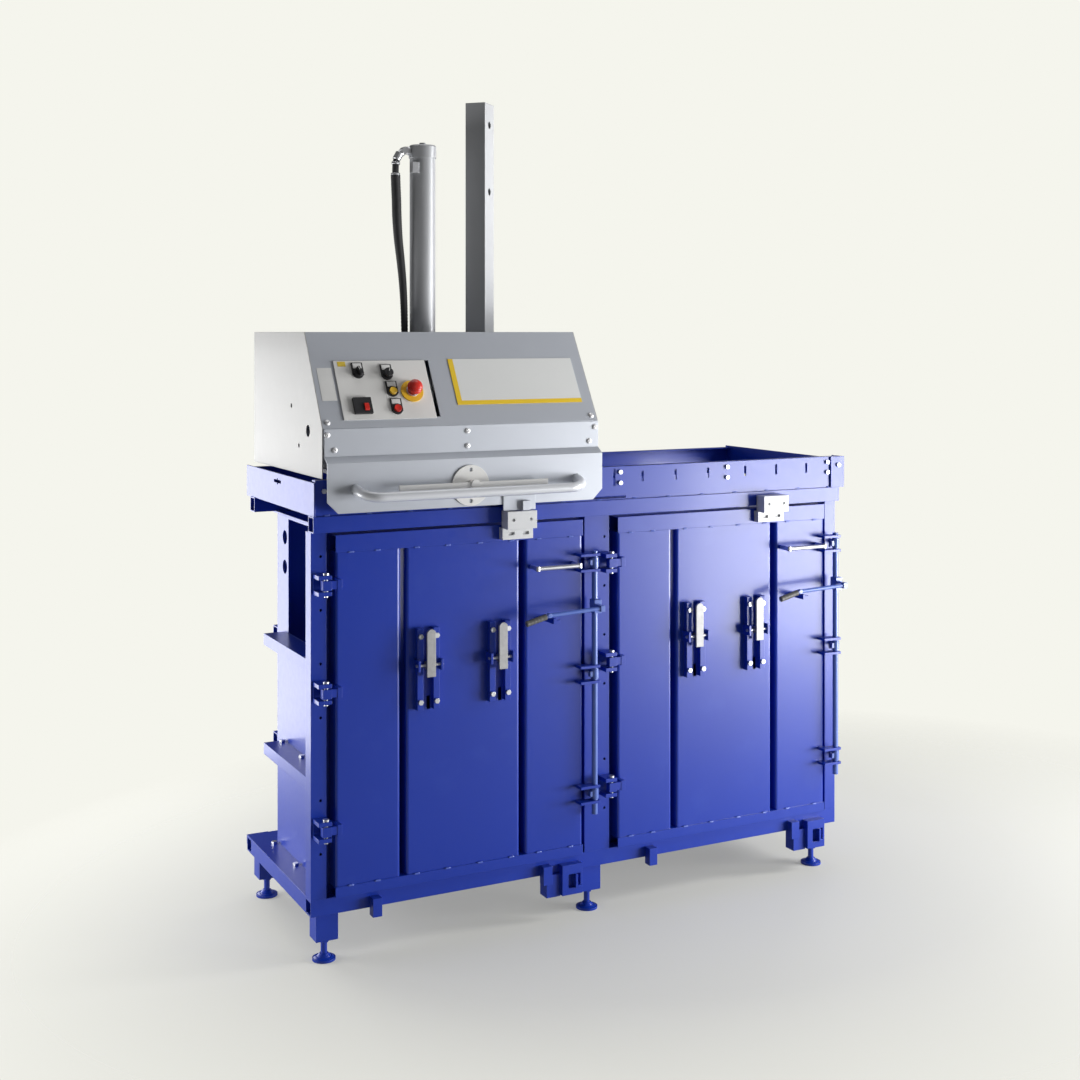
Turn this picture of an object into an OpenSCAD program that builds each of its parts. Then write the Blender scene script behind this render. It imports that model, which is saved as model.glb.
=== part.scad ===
// Two-chamber waste baler with one press carriage that rolls from chamber to chamber.
// Millimetres, +Z up, +X to the right, the doors face -Y.
// The origin is the middle of the footprint on the floor.

/* [Frame] */
// Distance between the two chambers
chamber_pitch = 800; // [780:5:860]
// Depth of the base frame
base_depth = 550; // [540:2:600]
// Top of the base above the floor
deck_top = 163; // [158:1:190]
// Height of the chamber walls above the base
wall_height = 902; // [860:2:960]
// Side of the square frame tubes
tube = 40; // [38:0.5:42]
// Wall of the frame tubes
tube_wall = 3; // [2:0.5:4]
// Depth of a chamber inside
chamber_depth = 420; // [400:2:440]
// Sheet thickness of the chamber walls
wall_sheet = 4; // [3:0.5:5]

/* [Feet] */
// Diameter of a foot pad
foot_d = 58; // [50:1:66]
// Diameter of a foot stem
foot_stem_d = 16; // [12:0.5:18]

/* [Doors] */
// Thickness of a door
door_thick = 50; // [44:1:54]
// Sheet thickness of a door
door_sheet = 3; // [2:0.5:4]
// Width of the strap slots in a door
strap_slot = 16; // [10:1:22]
// Height of the top rail of a door
door_rail_h = 43; // [34:1:50]
// Diameter of the hinge pins
hinge_pin_d = 10; // [8:0.5:12]
// Diameter of the upright latch shaft
latch_shaft_d = 16; // [12:0.5:18]

/* [Rails] */
// Height of the front running rail above the tubes
rail_height = 89; // [84:1:100]
// Sheet thickness of the running rails
rail_sheet = 4; // [3:0.5:5]
// Tread radius of the rollers
roller_r = 25; // [22:0.5:27]

/* [Carriage] */
// Height of the hood
hood_height = 360; // [350:1:400]
// Depth of the sloping hood front, seen from the side
slope_depth = 139; // [130:1:150]
// Height of the sloping hood front, seen from the side
slope_rise = 236; // [228:1:244]
// Height of the front flap
flap_height = 123; // [116:1:130]
// Diameter of the push handle tube
handle_d = 25; // [20:0.5:28]
// Length of the release lever
lever_len = 412; // [300:4:440]

/* [Press] */
// Outer diameter of the hydraulic cylinder
barrel_d = 70; // [66:1:76]
// Diameter of the piston rod
rod_d = 40; // [30:1:44]
// Height of the cylinder above the hood
barrel_rise = 474; // [440:2:520]
// Travel of the press plate
ram_travel = 620; // [500:5:625]
// Gap between the press plate and the chamber walls
plate_gap = 7; // [5:0.5:12]

/* [Hidden] */
$fn = 48;
eps = 0.01;
run_gap = 0.05;   // running fit of pins, shafts and bores
air = 0.3;        // air between moving faces
bolt_head = 6;
chambers = [0, 1];

// frame heights
tube_bottom = deck_top + wall_height;
tube_top = tube_bottom + tube;
rail_top = tube_top + rail_height;
rear_rail_top = rail_top - 11;
frame_len = 2 * chamber_pitch;
floor_sheet = 3;
beam_h = 41;
beam_bottom = deck_top - beam_h;
leg_bottom = beam_bottom - 68;
leg_w = 57;
leg_d = 50;
pad_h = 17;

// frame plan: the front of the door panels is y = 0
post_y = 15;
post_back = post_y + tube;
front_tube_y = -5;
base_back = post_y + base_depth;
wall_back = post_back + chamber_depth;
rear_tube_y = wall_back + 20;
rail_back = base_back + 8;
chamber_left = 60;
chamber_right = chamber_pitch - 44;
latch_post_x = chamber_pitch - tube + 4;
leg_columns = [45.5 - leg_w / 2, chamber_pitch - leg_w / 2 - 10, frame_len - 60 - leg_w / 2];
leg_rows = [post_y + 10, base_back - leg_d - 10];
stop_x = 18;

// centring on the footprint
front_reach = 90 + handle_d / 2;
shift_x = (frame_len + stop_x) / 2;
shift_y = (rail_back - front_reach) / 2;

// doors
door_left = 59;
door_w = chamber_pitch - 108;
pan_y = 3;
pan_round = 7;
drain_d = 12;
door_bottom = deck_top + 2;
door_top = tube_bottom - 8;
door_h = door_top - door_bottom;
hinge_x = 27;
hinge_y = -20;
hinge_heights = [for (f = [0.196, 0.572, 0.868]) door_bottom + f * door_h];
hinge_ear = [15, 25];
knuckle_h = 24;
latch_x = door_left + door_w + 26;
latch_y = -18;
latch_heights = [for (f = [0.184, 0.5415, 0.874]) door_bottom + f * door_h];
cam_reach = 16;
latch_ear = [17, 24];
keeper_x = latch_x + 15;
lever_z = door_bottom + 0.7455 * door_h;
lever_r = 5.5;
knee_rim = 0.4;   // how far the knee of a bent bar stands proud of it
lever_points = [[-4, -42, lever_z - 2], [-158, -42, lever_z - 8], [-226, -42, lever_z - 25]];
slot_places = door_w * [0.2471, 0.7298];
brake_places = door_w * [0.3475, 0.6373];
handle_places = door_w * [0.776, 0.955];
rest_place = door_w * 0.8324;
brake_z = door_bottom + 0.621 * door_h;

// carriage
panel_sheet = 2;
carriage_left = 22;
carriage_w = chamber_pitch - 28;
carriage_right = carriage_left + carriage_w;
carriage_mid = carriage_left + carriage_w / 2;
lock_x = carriage_mid + 142;
hood_bottom = rail_top + 3;
hood_top = hood_bottom + hood_height;
hood_front = -5;
hood_back = rail_back - 1;
knee_z = hood_top - slope_rise;
slope_angle = atan2(slope_rise, slope_depth);
slope_len = norm([slope_rise, slope_depth]);
strip_front = hood_front - 3;
flap_front = -30;
flap_bottom = hood_bottom - 84;
flap_top = flap_bottom + flap_height;
flap_sheet = 3;
handle_z = flap_bottom + 58;
handle_half = 0.4 * carriage_w - 0.8;
handle_bend = 50;
beam_z = rail_top + 68;
plate_z = beam_z + tube;
plate_h = 12;
press_bottom = rail_top + 6;
press_top = press_bottom + 50;
rear_axle_z = rear_rail_top + roller_r;
front_axle_z = rail_top + roller_r;
roller_places = [90, carriage_w - 46];
roller_bore_r = 8;
rail_flange = 24;

// cylinder, mast and press plate
cyl_x = carriage_mid;
cyl_y = 285;
barrel_top = hood_top + barrel_rise;
cap_h = 35;
bore_r = barrel_d / 2 - 6;
piston_h = 35;
mast_x = cyl_x + 172;
mast_y = cyl_y;
mast_turn = 45;
mast_w = 72;
mast_d = 57;
mast_hole = 20;
mast_top = barrel_top + 159;
mast_wall = 4;

// hose route in the frame of the cylinder axis and its cap, top to bottom
hose_route = [[-70, 0, 5], [-77, 0, -10], [-79, 0, -35], [-78, 0, -75], [-76, 0, -120],
    [-75, 0, -160], [-71, 0, -220], [-64, 0, -280], [-58, 0, -340], [-54, 0, -410], [-52, 0, -500]];
hose_thin_r = 9;
hose_thick_r = 13.5;
hose_end_r = 9.5;

// colours
blue = [0.13, 0.18, 0.62];
grey = [0.55, 0.57, 0.60];
pale = [0.86, 0.86, 0.85];
steel = [0.75, 0.76, 0.78];
dark = [0.08, 0.08, 0.09];

// ---------- helpers ----------

// Moves a shape from the frame corner to the middle of the footprint.
module placed() {
    translate([-shift_x, -shift_y, 0]) children();
}

// A box from one corner to the opposite corner.
module span(from, to) {
    translate(from) cube(to - from);
}

// A square tube along x, y or z, open at both ends.
module box_tube(from, to, along, wall = tube_wall) {
    inset = [for (i = [0:2]) i == along ? -1 : wall];
    difference() {
        span(from, to);
        span(from + inset, to - inset);
    }
}

// A round bar between two points.
module bar(from, to, r) {
    v = to - from;
    translate(from)
        rotate([0, acos(v[2] / norm(v)), atan2(v[1], v[0])])
            cylinder(h = norm(v), r = r);
}

// A bar or head whose axis points to -Y, starting at y = 0.
module front_pin(r, h, fn = 48) {
    rotate([90, 0, 0]) cylinder(h = h, r = r, $fn = fn);
}

// The slope of the hood: x to the right, y up the slope, z out of it.
module on_slope(x = 0, s = 0, n = 0) {
    translate([0, hood_front, knee_z])
        rotate([slope_angle, 0, 0])
            translate([x, s, n]) children();
}

// The upright space of the mast, with some air around it.
module mast_hole_box(gap, low, high) {
    half = [mast_w / 2 + gap, mast_d / 2 + gap];
    translate([mast_x, mast_y, 0])
        rotate([0, 0, mast_turn])
            span([-half[0], -half[1], low], [half[0], half[1], high]);
}

// Both chambers, one pitch apart.
module each_chamber() {
    for (i = chambers)
        translate([i * chamber_pitch, 0, 0]) children();
}

// One chamber or its neighbour.
module chamber(i) {
    translate([i * chamber_pitch, 0, 0]) children();
}

// ---------- fixed frame ----------

module leg(x, y) {
    difference() {
        span([x, y, leg_bottom], [x + leg_w, y + leg_d, beam_bottom]);
        span([x + tube_wall, y + tube_wall, leg_bottom + 8],
            [x + leg_w - tube_wall, y + leg_d - tube_wall, beam_bottom + 1]);
        translate([x + leg_w / 2, y + leg_d / 2, leg_bottom - 1])
            cylinder(h = 20, d = foot_stem_d + 2 * run_gap);
    }
}

module base_frame() color(blue) placed() {
    under = deck_top - floor_sheet;
    union() {
        for (y = [post_y, base_back - tube])
            box_tube([0, y, beam_bottom], [frame_len, y + tube, under], 0);
        for (x = [0, chamber_pitch - tube / 2, frame_len - tube])
            box_tube([x, post_back, beam_bottom], [x + tube, base_back - tube, under], 1);
        for (x = [chamber_pitch * 0.35, chamber_pitch * 0.65, chamber_pitch * 1.35, chamber_pitch * 1.65])
            box_tube([x, post_back, beam_bottom], [x + tube, base_back - tube, under], 1);
        span([0, post_y, under], [frame_len, base_back, deck_top]);
        span([0, base_back, deck_top - 24], [60, base_back + 4, deck_top]);
    }
}

module legs() color(blue) placed()
    for (x = leg_columns, y = leg_rows)
        leg(x, y);

module foot() {
    rim_h = 6;
    cylinder(h = rim_h, d = foot_d);
    translate([0, 0, rim_h]) cylinder(h = 3, d1 = foot_d - 6, d2 = foot_d - 16);
    translate([0, 0, rim_h + 3]) cylinder(h = pad_h - rim_h - 3, d1 = foot_d - 22, d2 = foot_stem_d + 6);
    cylinder(h = leg_bottom + 30, d = foot_stem_d);
    translate([0, 0, leg_bottom - 9]) cylinder(h = 9, d = foot_stem_d + 11, $fn = 6);
}

module feet() color(blue) placed()
    for (x = leg_columns, y = leg_rows)
        translate([x + leg_w / 2, y + leg_d / 2, 0]) foot();

module posts() color(blue) placed()
    each_chamber() {
        difference() {
            box_tube([0, post_y, deck_top], [tube, post_back, tube_bottom], 2);
            for (z = hinge_heights, side = [-1, 1])
                translate([hinge_x - 2, post_y + tube_wall + 1, z + side * 66]) front_pin(3.5, tube_wall + 2);
        }
        box_tube([latch_post_x, post_y, deck_top], [chamber_pitch, post_back, tube_bottom], 2);
    }

window_front = 90;
window_back = wall_back - 93;
window_bottom = tube_bottom - 317;
window_top = tube_bottom - 10;
port_d = 38;

module side_wall(x) {
    difference() {
        span([x, post_back, deck_top], [x + wall_sheet, wall_back, tube_bottom - wall_sheet]);
        span([x - 1, window_front, window_bottom], [x + wall_sheet + 1, window_back, window_top]);
        for (z = [tube_bottom - 62, tube_bottom - 142])
            translate([x - 1, wall_back - 62, z])
                rotate([0, 90, 0]) cylinder(h = wall_sheet + 2, d = port_d);
    }
}

// The folded front edge of a wall, which closes the gap beside the door.
module wall_flange(x0, x1) {
    span([x0, post_back - wall_sheet, deck_top], [x1, post_back, tube_bottom - wall_sheet]);
}

module side_walls() color(blue) placed()
    each_chamber() {
        side_wall(chamber_left);
        wall_flange(tube, chamber_left + wall_sheet);
        side_wall(chamber_right - wall_sheet);
        wall_flange(chamber_right - wall_sheet, latch_post_x);
    }

module rear_walls() color(blue) placed()
    each_chamber()
        span([chamber_left, wall_back, deck_top],
            [chamber_right, wall_back + wall_sheet, tube_bottom - wall_sheet]);

rib_heights = [window_bottom, deck_top + 292];
rib_lip = 30;
rib_back = wall_back - 60;

// An angle rib from x0 (its lip) to x1 (the wall).
module angle_rib(x0, x1, z) {
    lip = x0 < x1 ? x0 : x0 - wall_sheet;
    span([min(x0, x1), post_back, z - wall_sheet], [max(x0, x1), rib_back, z]);
    span([lip, post_back, z - rib_lip], [lip + wall_sheet, rib_back, z]);
}

module wall_ribs() color(blue) placed() {
    for (z = rib_heights) {
        angle_rib(2, chamber_left, z);
        angle_rib(frame_len - 2, chamber_pitch + chamber_right, z);
        span([chamber_right, post_back, z - wall_sheet],
            [chamber_pitch + chamber_left, rib_back, z]);
    }
    each_chamber()
        for (z = rib_heights)
            box_tube([chamber_left, wall_back + wall_sheet, z - tube],
                [chamber_right, wall_back + wall_sheet + tube, z], 0);
}

module deck_plate() color(blue) placed()
    difference() {
        span([chamber_left, post_back, tube_bottom - wall_sheet],
            [chamber_pitch + chamber_right, rear_tube_y + tube, tube_bottom]);
        each_chamber()
            span([chamber_left + wall_sheet, post_back - 1, tube_bottom - 10],
                [chamber_right - wall_sheet, wall_back, tube_bottom + 1]);
    }

module top_tubes() color(blue) placed()
    for (y = [front_tube_y, rear_tube_y])
        box_tube([0, y, tube_bottom], [frame_len, y + tube, tube_top], 0);

lock_slots = [-275, -169, -62.5, 62.5, 169, 275];

module front_rail() color(blue) placed()
    difference() {
        union() {
            span([2 + rail_sheet, 0, tube_top], [frame_len - rail_sheet, rail_sheet, rail_top]);
            span([2 + rail_sheet, 0, rail_top - rail_sheet], [frame_len - rail_sheet, rail_flange, rail_top]);
            span([2 + rail_sheet, 0, tube_top], [frame_len - rail_sheet, 30, tube_top + rail_sheet]);
        }
        each_chamber() {
            for (x = lock_slots)
                span([chamber_pitch / 2 + 11 + x - 3.5, -1, rail_top - 43],
                    [chamber_pitch / 2 + 11 + x + 3.5, rail_sheet + 1, rail_top - 15]);
            span([44, -1, rail_top - 51], [51, rail_sheet + 1, rail_top - 6]);
        }
        span([chamber_pitch - 30, -1, tube_top + rail_sheet],
            [chamber_pitch + 83, rail_sheet + 1, tube_top + rail_sheet + 6]);
    }

module rail_frame() color(blue) placed() {
    difference() {
        for (p = [[2, -3], [frame_len - rail_sheet, 0]])
            span([p[0], p[1], tube_top - 1], [p[0] + rail_sheet, rail_back + 2, rear_rail_top + 5]);
        for (x = [0, frame_len - rail_sheet - 1])
            span([x, front_tube_y - 1, tube_top - 2], [x + 10, rear_tube_y + tube, tube_top]);
        for (s = [0, 90])
            translate([0, 293, rear_rail_top - 16])
                rotate([s, 0, 0])
                    span([1, s == 0 ? -30 : -8, -4], [7, s == 0 ? 30 : 8, 4]);
    }
    difference() {
        union() {
            span([2 + rail_sheet, rail_back - rail_sheet, tube_top],
                [frame_len - rail_sheet, rail_back, rear_rail_top]);
            span([2 + rail_sheet, rail_back - rail_flange, rear_rail_top - rail_sheet],
                [frame_len - rail_sheet, rail_back, rear_rail_top]);
            span([2 + rail_sheet, rear_tube_y, tube_top],
                [frame_len - rail_sheet, rail_back, tube_top + rail_sheet]);
        }
    }
}

module end_stop() color(blue) placed() {
    span([frame_len - 29, -6, tube_top], [frame_len + stop_x, 0, rail_top]);
    span([frame_len + stop_x - 6, 0, tube_top], [frame_len + stop_x, 45, rail_top]);
    span([frame_len, 35, tube_top], [frame_len + stop_x - 6, 45, rail_top - 20]);
}

// ---------- hinges and keepers ----------

module hinge_bracket(z) {
    difference() {
        union() {
            span([hinge_x - 22, post_y - 4, z - hinge_ear[1]], [hinge_x + 12, post_y, z + hinge_ear[1]]);
            for (low = [-hinge_ear[1], hinge_ear[0]])
                translate([0, 0, z + low])
                    span([hinge_x - 22, hinge_y - 10, 0],
                        [hinge_x + 12, post_y - 4, hinge_ear[1] - hinge_ear[0]]);
        }
        translate([hinge_x, hinge_y, z - 40]) cylinder(h = 80, d = hinge_pin_d);
    }
}

module hinge_brackets() color(blue) placed()
    each_chamber()
        for (z = hinge_heights) hinge_bracket(z);

module hinge_pins() color(steel) placed()
    each_chamber()
        for (z = hinge_heights)
            translate([hinge_x, hinge_y, z]) {
                translate([0, 0, -hinge_ear[1] - 4]) cylinder(h = 2 * hinge_ear[1] + 8, d = hinge_pin_d);
                translate([0, 0, hinge_ear[1]]) cylinder(h = 5, d = hinge_pin_d + 5);
            }

module latch_keepers() color(blue) placed()
    each_chamber()
        for (z = latch_heights) {
            span([keeper_x - 10, post_y - 4, z - 17], [keeper_x + 8, post_y, z + 17]);
            translate([keeper_x, post_y - 4, z]) front_pin(7, 19);
        }

// ---------- fasteners of the frame ----------

module hex_front(x, y, z, r = 8) {
    translate([x, y, z]) front_pin(r, bolt_head, 6);
}

module hex_up(x, y, z, r = 9) {
    translate([x, y, z]) cylinder(h = bolt_head, r = r, $fn = 6);
}

module frame_bolts() color(steel) placed() {
    each_chamber()
        for (x = [65, chamber_pitch / 2 + 11, chamber_pitch - 40], z = [rail_top - 15, rail_top - 44])
            hex_front(x, 0, z, 6.5);
    hex_front(28, 0, rail_top - 27, 6.5);
    hex_front(frame_len - 4, -6, rail_top - 24, 6.5);
    for (y = [rib_back - 17, rib_back - 182])
        hex_up(chamber_left - 12, y, rib_heights[1], 8);
    for (y = [wall_back - 12, wall_back - 200])
        hex_up(chamber_left - 14, y, deck_top, 8);
}

// ---------- brackets under the front beam ----------

module front_brackets() color(blue) placed()
    each_chamber() {
        span([153, post_y - 25, deck_top - 59], [177, post_y, deck_top - 13]);
        span([chamber_pitch - 170, post_y - 22, deck_top - 61], [chamber_pitch - 144, post_y, deck_top - 13]);
        span([chamber_pitch - 155, post_y - 10, deck_top - 100],
            [chamber_pitch - 114, post_y + 28, beam_bottom]);
        difference() {
            span([chamber_pitch - 114, post_y - 22, deck_top - 97], [chamber_pitch - 54, post_y, deck_top - 18]);
            span([chamber_pitch - 96, post_y - 26, deck_top - 79], [chamber_pitch - 60, post_y - 12, deck_top - 43]);
        }
        span([chamber_pitch - 78, post_y - 30, deck_top - 79], [chamber_pitch - 72, post_y - 12, deck_top - 43]);
        span([chamber_pitch - 78, post_y - 30, deck_top - 79], [chamber_pitch - 60, post_y - 12, deck_top - 73]);
    }

// ---------- doors ----------

// Points of a rounded corner about c, from angle a on.
function corner(c, r, a) = [for (k = [0:3]) c + r * [cos(a + 30 * k), sin(a + 30 * k)]];

// A closed panel with a rounded edge along each strap slot.
module door_pan(x0, x1) {
    z0 = door_bottom + 26;
    z1 = door_top - door_rail_h;
    front = pan_y + pan_round;
    difference() {
        translate([0, 0, z0])
            linear_extrude(z1 - z0)
                polygon([[x1, door_thick], [x0, door_thick], each corner([x0 + pan_round, front], pan_round, 180),
                    each corner([x1 - pan_round, front], pan_round, 270)]);
        span([x0 + door_sheet, pan_y + door_sheet, z0 - 1], [x1 - door_sheet, door_thick - door_sheet, z1 + 1]);
    }
}

module door_handle(x0, x1, z) {
    for (x = [x0, x1]) {
        bar([x, pan_y + 1, z], [x, -40, z], 6);
        translate([x, -40, z - 6 - knee_rim]) cylinder(h = 2 * (6 + knee_rim), r = 6 + knee_rim);
    }
    bar([x0, -40, z], [x1, -40, z], 6);
}

// Two guide bars with ears for the cross pin of one strap lever.
module brake_guides(x) {
    for (side = [-1, 1]) {
        translate([x + side * 22, 0, 0])
            span([-8, -15, brake_z - 114], [8, pan_y, brake_z + 92]);
        difference() {
            translate([x + side * 31, 0, 0])
                span([-3, -32, brake_z - 14], [3, pan_y, brake_z + 14]);
            translate([x - 40, hinge_y - 2, brake_z])
                rotate([0, 90, 0]) cylinder(h = 80, d = 8);
        }
    }
}

module door(i) color(blue) placed() chamber(i) {
    right = door_left + door_w;
    edges = [0, each slot_places, door_w];
    difference() {
        union() {
            for (k = [0:2])
                door_pan(door_left + edges[k] + (k == 0 ? 0 : strap_slot), door_left + edges[k + 1]);
            box_tube([door_left, 0, door_bottom], [right, door_thick, door_bottom + 26], 0, door_sheet);
            box_tube([door_left, 0, door_top - door_rail_h], [right, door_thick, door_top], 0, door_sheet);
        }
        for (x = brake_places)
            span([door_left + x + 2, -1, brake_z - 117],
                [door_left + x + 12, pan_y + door_sheet + 1, brake_z - 83]);
        for (k = [0:2])
            translate([door_left + (edges[k] + edges[k + 1]) / 2, door_thick / 2, door_bottom + 13])
                cylinder(h = 20, d = drain_d);
    }
    door_handle(door_left + handle_places[0], door_left + handle_places[1], door_bottom + 0.871 * door_h);
    translate([door_left + rest_place, 0, lever_z]) {
        span([0, -54, -33], [8, pan_y, -19]);
        span([8, -54, -33], [20, -48, -23]);
    }
    for (x = brake_places)
        brake_guides(door_left + x);
    for (z = hinge_heights)
        difference() {
            translate([0, 0, z - knuckle_h / 2]) {
                span([hinge_x - 11, hinge_y - 10, 0], [hinge_x + 12, hinge_y + 8, knuckle_h]);
                span([hinge_x + 10, hinge_y - 4, 2], [door_left, hinge_y + 4, knuckle_h - 2]);
                span([door_left - 4, hinge_y - 5, -1], [door_left, 30, knuckle_h + 1]);
                span([door_left - 1, hinge_y - 5, -1], [door_left + 8, pan_y + 8, knuckle_h + 1]);
            }
            translate([hinge_x, hinge_y, z - 20]) cylinder(h = 40, d = hinge_pin_d + 2 * run_gap);
        }
    for (z = latch_heights)
        difference() {
            for (low = [-latch_ear[1], latch_ear[0]])
                translate([0, 0, z + low])
                    union() {
                        span([latch_x - 48, -4, 0], [latch_x - 27, pan_y + 1, latch_ear[1] - latch_ear[0]]);
                        span([latch_x - 48, latch_y - 13, 0],
                            [latch_x + 10, -4, latch_ear[1] - latch_ear[0]]);
                    }
            translate([latch_x, latch_y, z - 40]) cylinder(h = 80, d = latch_shaft_d + 2 * run_gap);
        }
}

module lock_block(i) color(pale) placed() chamber(i) {
    x = lock_x;
    difference() {
        union() {
            span([x - 46, -20, door_top - 37], [x + 42, 0, door_top - 6]);
            span([x - 43, -45, door_top - 8], [x + 41, -8, door_top + 38]);
        }
        for (dx = [-26, 24])
            translate([x + dx, -40, door_top + 16]) front_pin(4, 10);
        for (dx = [-30, 12])
            span([x + dx, -21, door_top - 26], [x + dx + 18, -14, door_top - 18]);
    }
}

module brake_bolts(i) color(steel) placed() chamber(i)
    for (x = brake_places) {
        for (side = [-1, 1], z = [brake_z - 93.5, brake_z + 72])
            hex_front(door_left + x + side * 22, -15, z, 7);
        translate([door_left + x - 37, hinge_y - 2, brake_z])
            rotate([0, 90, 0]) cylinder(h = 74, d = 8);
    }

module latch_shaft(i) color(blue) placed() chamber(i)
    translate([latch_x, latch_y, 0]) {
        translate([0, 0, latch_heights[0] - 55])
            cylinder(h = latch_heights[2] - latch_heights[0] + 85, d = latch_shaft_d);
        for (z = latch_heights) {
            translate([0, 0, z - 13]) cylinder(h = 26, r = 10.5);
            span([-cam_reach, -6, z - 7], [0, 6, z + 7]);
        }
        span([-9, -16, lever_z - 20], [12, 11, lever_z + 16]);
        span([-8, -50, lever_z - 10], [4, -15, lever_z + 6]);
        bar(lever_points[0], lever_points[1], lever_r);
        translate(lever_points[1] + [0, lever_r + knee_rim, 0])
            front_pin(lever_r + knee_rim, 2 * (lever_r + knee_rim));
        bar(lever_points[1], lever_points[2] - (lever_points[2] - lever_points[1]) * 0.1, lever_r);
    }

module lever_grip(i) color(dark) placed() chamber(i)
    translate([latch_x, latch_y, 0]) {
        bend = lever_points[1];
        tip = lever_points[2];
        difference() {
            bar(bend + (tip - bend) * 0.12, tip, lever_r + 2.5);
            bar(bend, tip - (tip - bend) * 0.1, lever_r);
        }
    }

// One silver clamp lever; k counts the four from left to right.
module strap_lever(k) color(steel) placed() chamber(floor((k - 1) / 2)) {
    x = door_left + brake_places[(k - 1) % 2];
    y = hinge_y - 2;
    difference() {
        union() {
            translate([x - 11.5, y, brake_z]) rotate([0, 90, 0]) cylinder(h = 23, r = 10);
            span([x - 11.5, y - 13, brake_z - 28], [x + 11.5, y - 5, brake_z + 80]);
            translate([x, y - 5, brake_z + 80]) front_pin(11.5, 8);
        }
        translate([x - 20, y, brake_z]) rotate([0, 90, 0]) cylinder(h = 40, d = 8 + 2 * run_gap);
    }
}

// ---------- carriage ----------

module carriage_frame() color(grey) placed() {
    inner_left = carriage_left + panel_sheet;
    inner_right = carriage_right - panel_sheet;
    rear_beam_y = rail_back - 45;
    difference() {
        union() {
            box_tube([inner_left, post_y, beam_z], [inner_right, post_back, plate_z], 0);
            box_tube([inner_left, rear_beam_y, beam_z], [inner_right, rear_beam_y + tube, plate_z], 0);
            for (x = [cyl_x - 88, cyl_x + 48])
                box_tube([x, post_back, beam_z], [x + tube, rear_beam_y, plate_z], 1);
            span([60, cyl_y - 80, plate_z], [mast_x + 60, rear_beam_y + tube, plate_z + plate_h]);
            for (x = roller_places) {
                span([x - 20, 31, front_axle_z - 14], [x + 20, 39, beam_z]);
                span([x - 20, rail_back - 39, rear_axle_z - 14], [x + 20, rail_back - 31, beam_z]);
                translate([x, 39, front_axle_z]) front_pin(roller_bore_r, 36);
                translate([x, rail_back - 3, rear_axle_z]) front_pin(roller_bore_r, 36);
            }
        }
        translate([cyl_x, cyl_y, beam_z - 1]) cylinder(h = tube + plate_h + 2, d = barrel_d);
        mast_hole_box(air, plate_z - 1, plate_z + plate_h + 1);
    }
}

module roller(x, rear = false) color(steel) placed() {
    y = rear ? rail_back - 22 : 22;
    z = rear ? rear_axle_z : front_axle_z;
    turn = rear ? 0 : 180;
    translate([x, y, z])
        rotate([0, 0, turn])
            difference() {
                union() {
                    translate([0, 18, 0]) front_pin(roller_r - air, 18);
                    translate([0, -2.5, 0]) front_pin(roller_r + 5, 4.5);
                    translate([0, 0, 0]) front_pin(roller_r - 5, 3);
                }
                translate([0, 20, 0]) front_pin(roller_bore_r + run_gap, 40);
            }
}

module side_outline() {
    polygon([[hood_front, hood_bottom], [hood_front, knee_z], [hood_front + slope_depth, hood_top],
        [hood_back, hood_top], [hood_back, hood_bottom]]);
}

module side_panel(x, holes) {
    difference() {
        translate([x, 0, 0])
            rotate([90, 0, 90]) linear_extrude(panel_sheet) side_outline();
        if (holes)
            for (h = [[237, 170, 12], [103, 112, 30], [175, 71, 12]])
                translate([x - 1, h[0], hood_bottom + h[1]])
                    rotate([0, 90, 0]) cylinder(h = panel_sheet + 2, d = h[2]);
    }
}

module side_panels() color(pale) placed() {
    side_panel(carriage_left, true);
    side_panel(carriage_right - panel_sheet, true);
}

control_x = 82;
control_w = 248;
control_s = 20;
control_h = 167.5;

module hood() color(grey) placed() {
    x0 = carriage_left + panel_sheet;
    x1 = carriage_right - panel_sheet;
    back = hood_back - panel_sheet;
    t = panel_sheet;
    lean = t * (1 - cos(slope_angle)) / sin(slope_angle);
    difference() {
        translate([x0, 0, 0])
            rotate([90, 0, 90])
                linear_extrude(x1 - x0)
                    polygon([[hood_front, knee_z - 50], [hood_front, knee_z], [hood_front + slope_depth, hood_top],
                        [hood_back, hood_top], [hood_back, hood_bottom + 50], [back, hood_bottom + 50],
                        [back, hood_top - t], [hood_front + slope_depth + lean, hood_top - t],
                        [hood_front + t, knee_z - t * tan((90 - slope_angle) / 2)],
                        [hood_front + t, knee_z - 50]]);
        translate([cyl_x, cyl_y, hood_top - 10]) cylinder(h = 20, d = barrel_d + 6);
        translate([cyl_x - 55, cyl_y, hood_top - 10]) cylinder(h = 20, r = hose_thick_r + 1.5);
        mast_hole_box(2, hood_top - 10, hood_top + 10);
        on_slope(control_x, control_s, 0) {
            span([8, 8, -10], [control_w, control_h - 8, 10]);
            span([control_w - 4, 4, -10], [control_w + 12, control_h + 2, 10]);
        }
    }
}

module apron() color(grey) placed() {
    x0 = carriage_left + 5;
    x1 = carriage_right - 1;
    strip_bottom = flap_top + 15;
    strip_top = knee_z - 2;
    corner = 28;
    difference() {
        translate([x0, 0, 0])
            rotate([90, 0, 90])
                linear_extrude(x1 - x0)
                    polygon([[strip_front, strip_top], [strip_front, strip_bottom], [flap_front, flap_top],
                        [flap_front, flap_bottom], [flap_front + flap_sheet, flap_bottom],
                        [flap_front + flap_sheet, flap_top - 1], [strip_front + flap_sheet, strip_bottom - 1],
                        [strip_front + flap_sheet, strip_top]]);
        for (x = [x0, x1])
            translate([x, flap_front + 1.5, flap_bottom])
                rotate([0, 45, 0]) cube([corner * sqrt(2), 10, corner * sqrt(2)], center = true);
        translate([cyl_x, 0, handle_z]) front_pin(8 + run_gap, 60);
    }
}

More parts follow.
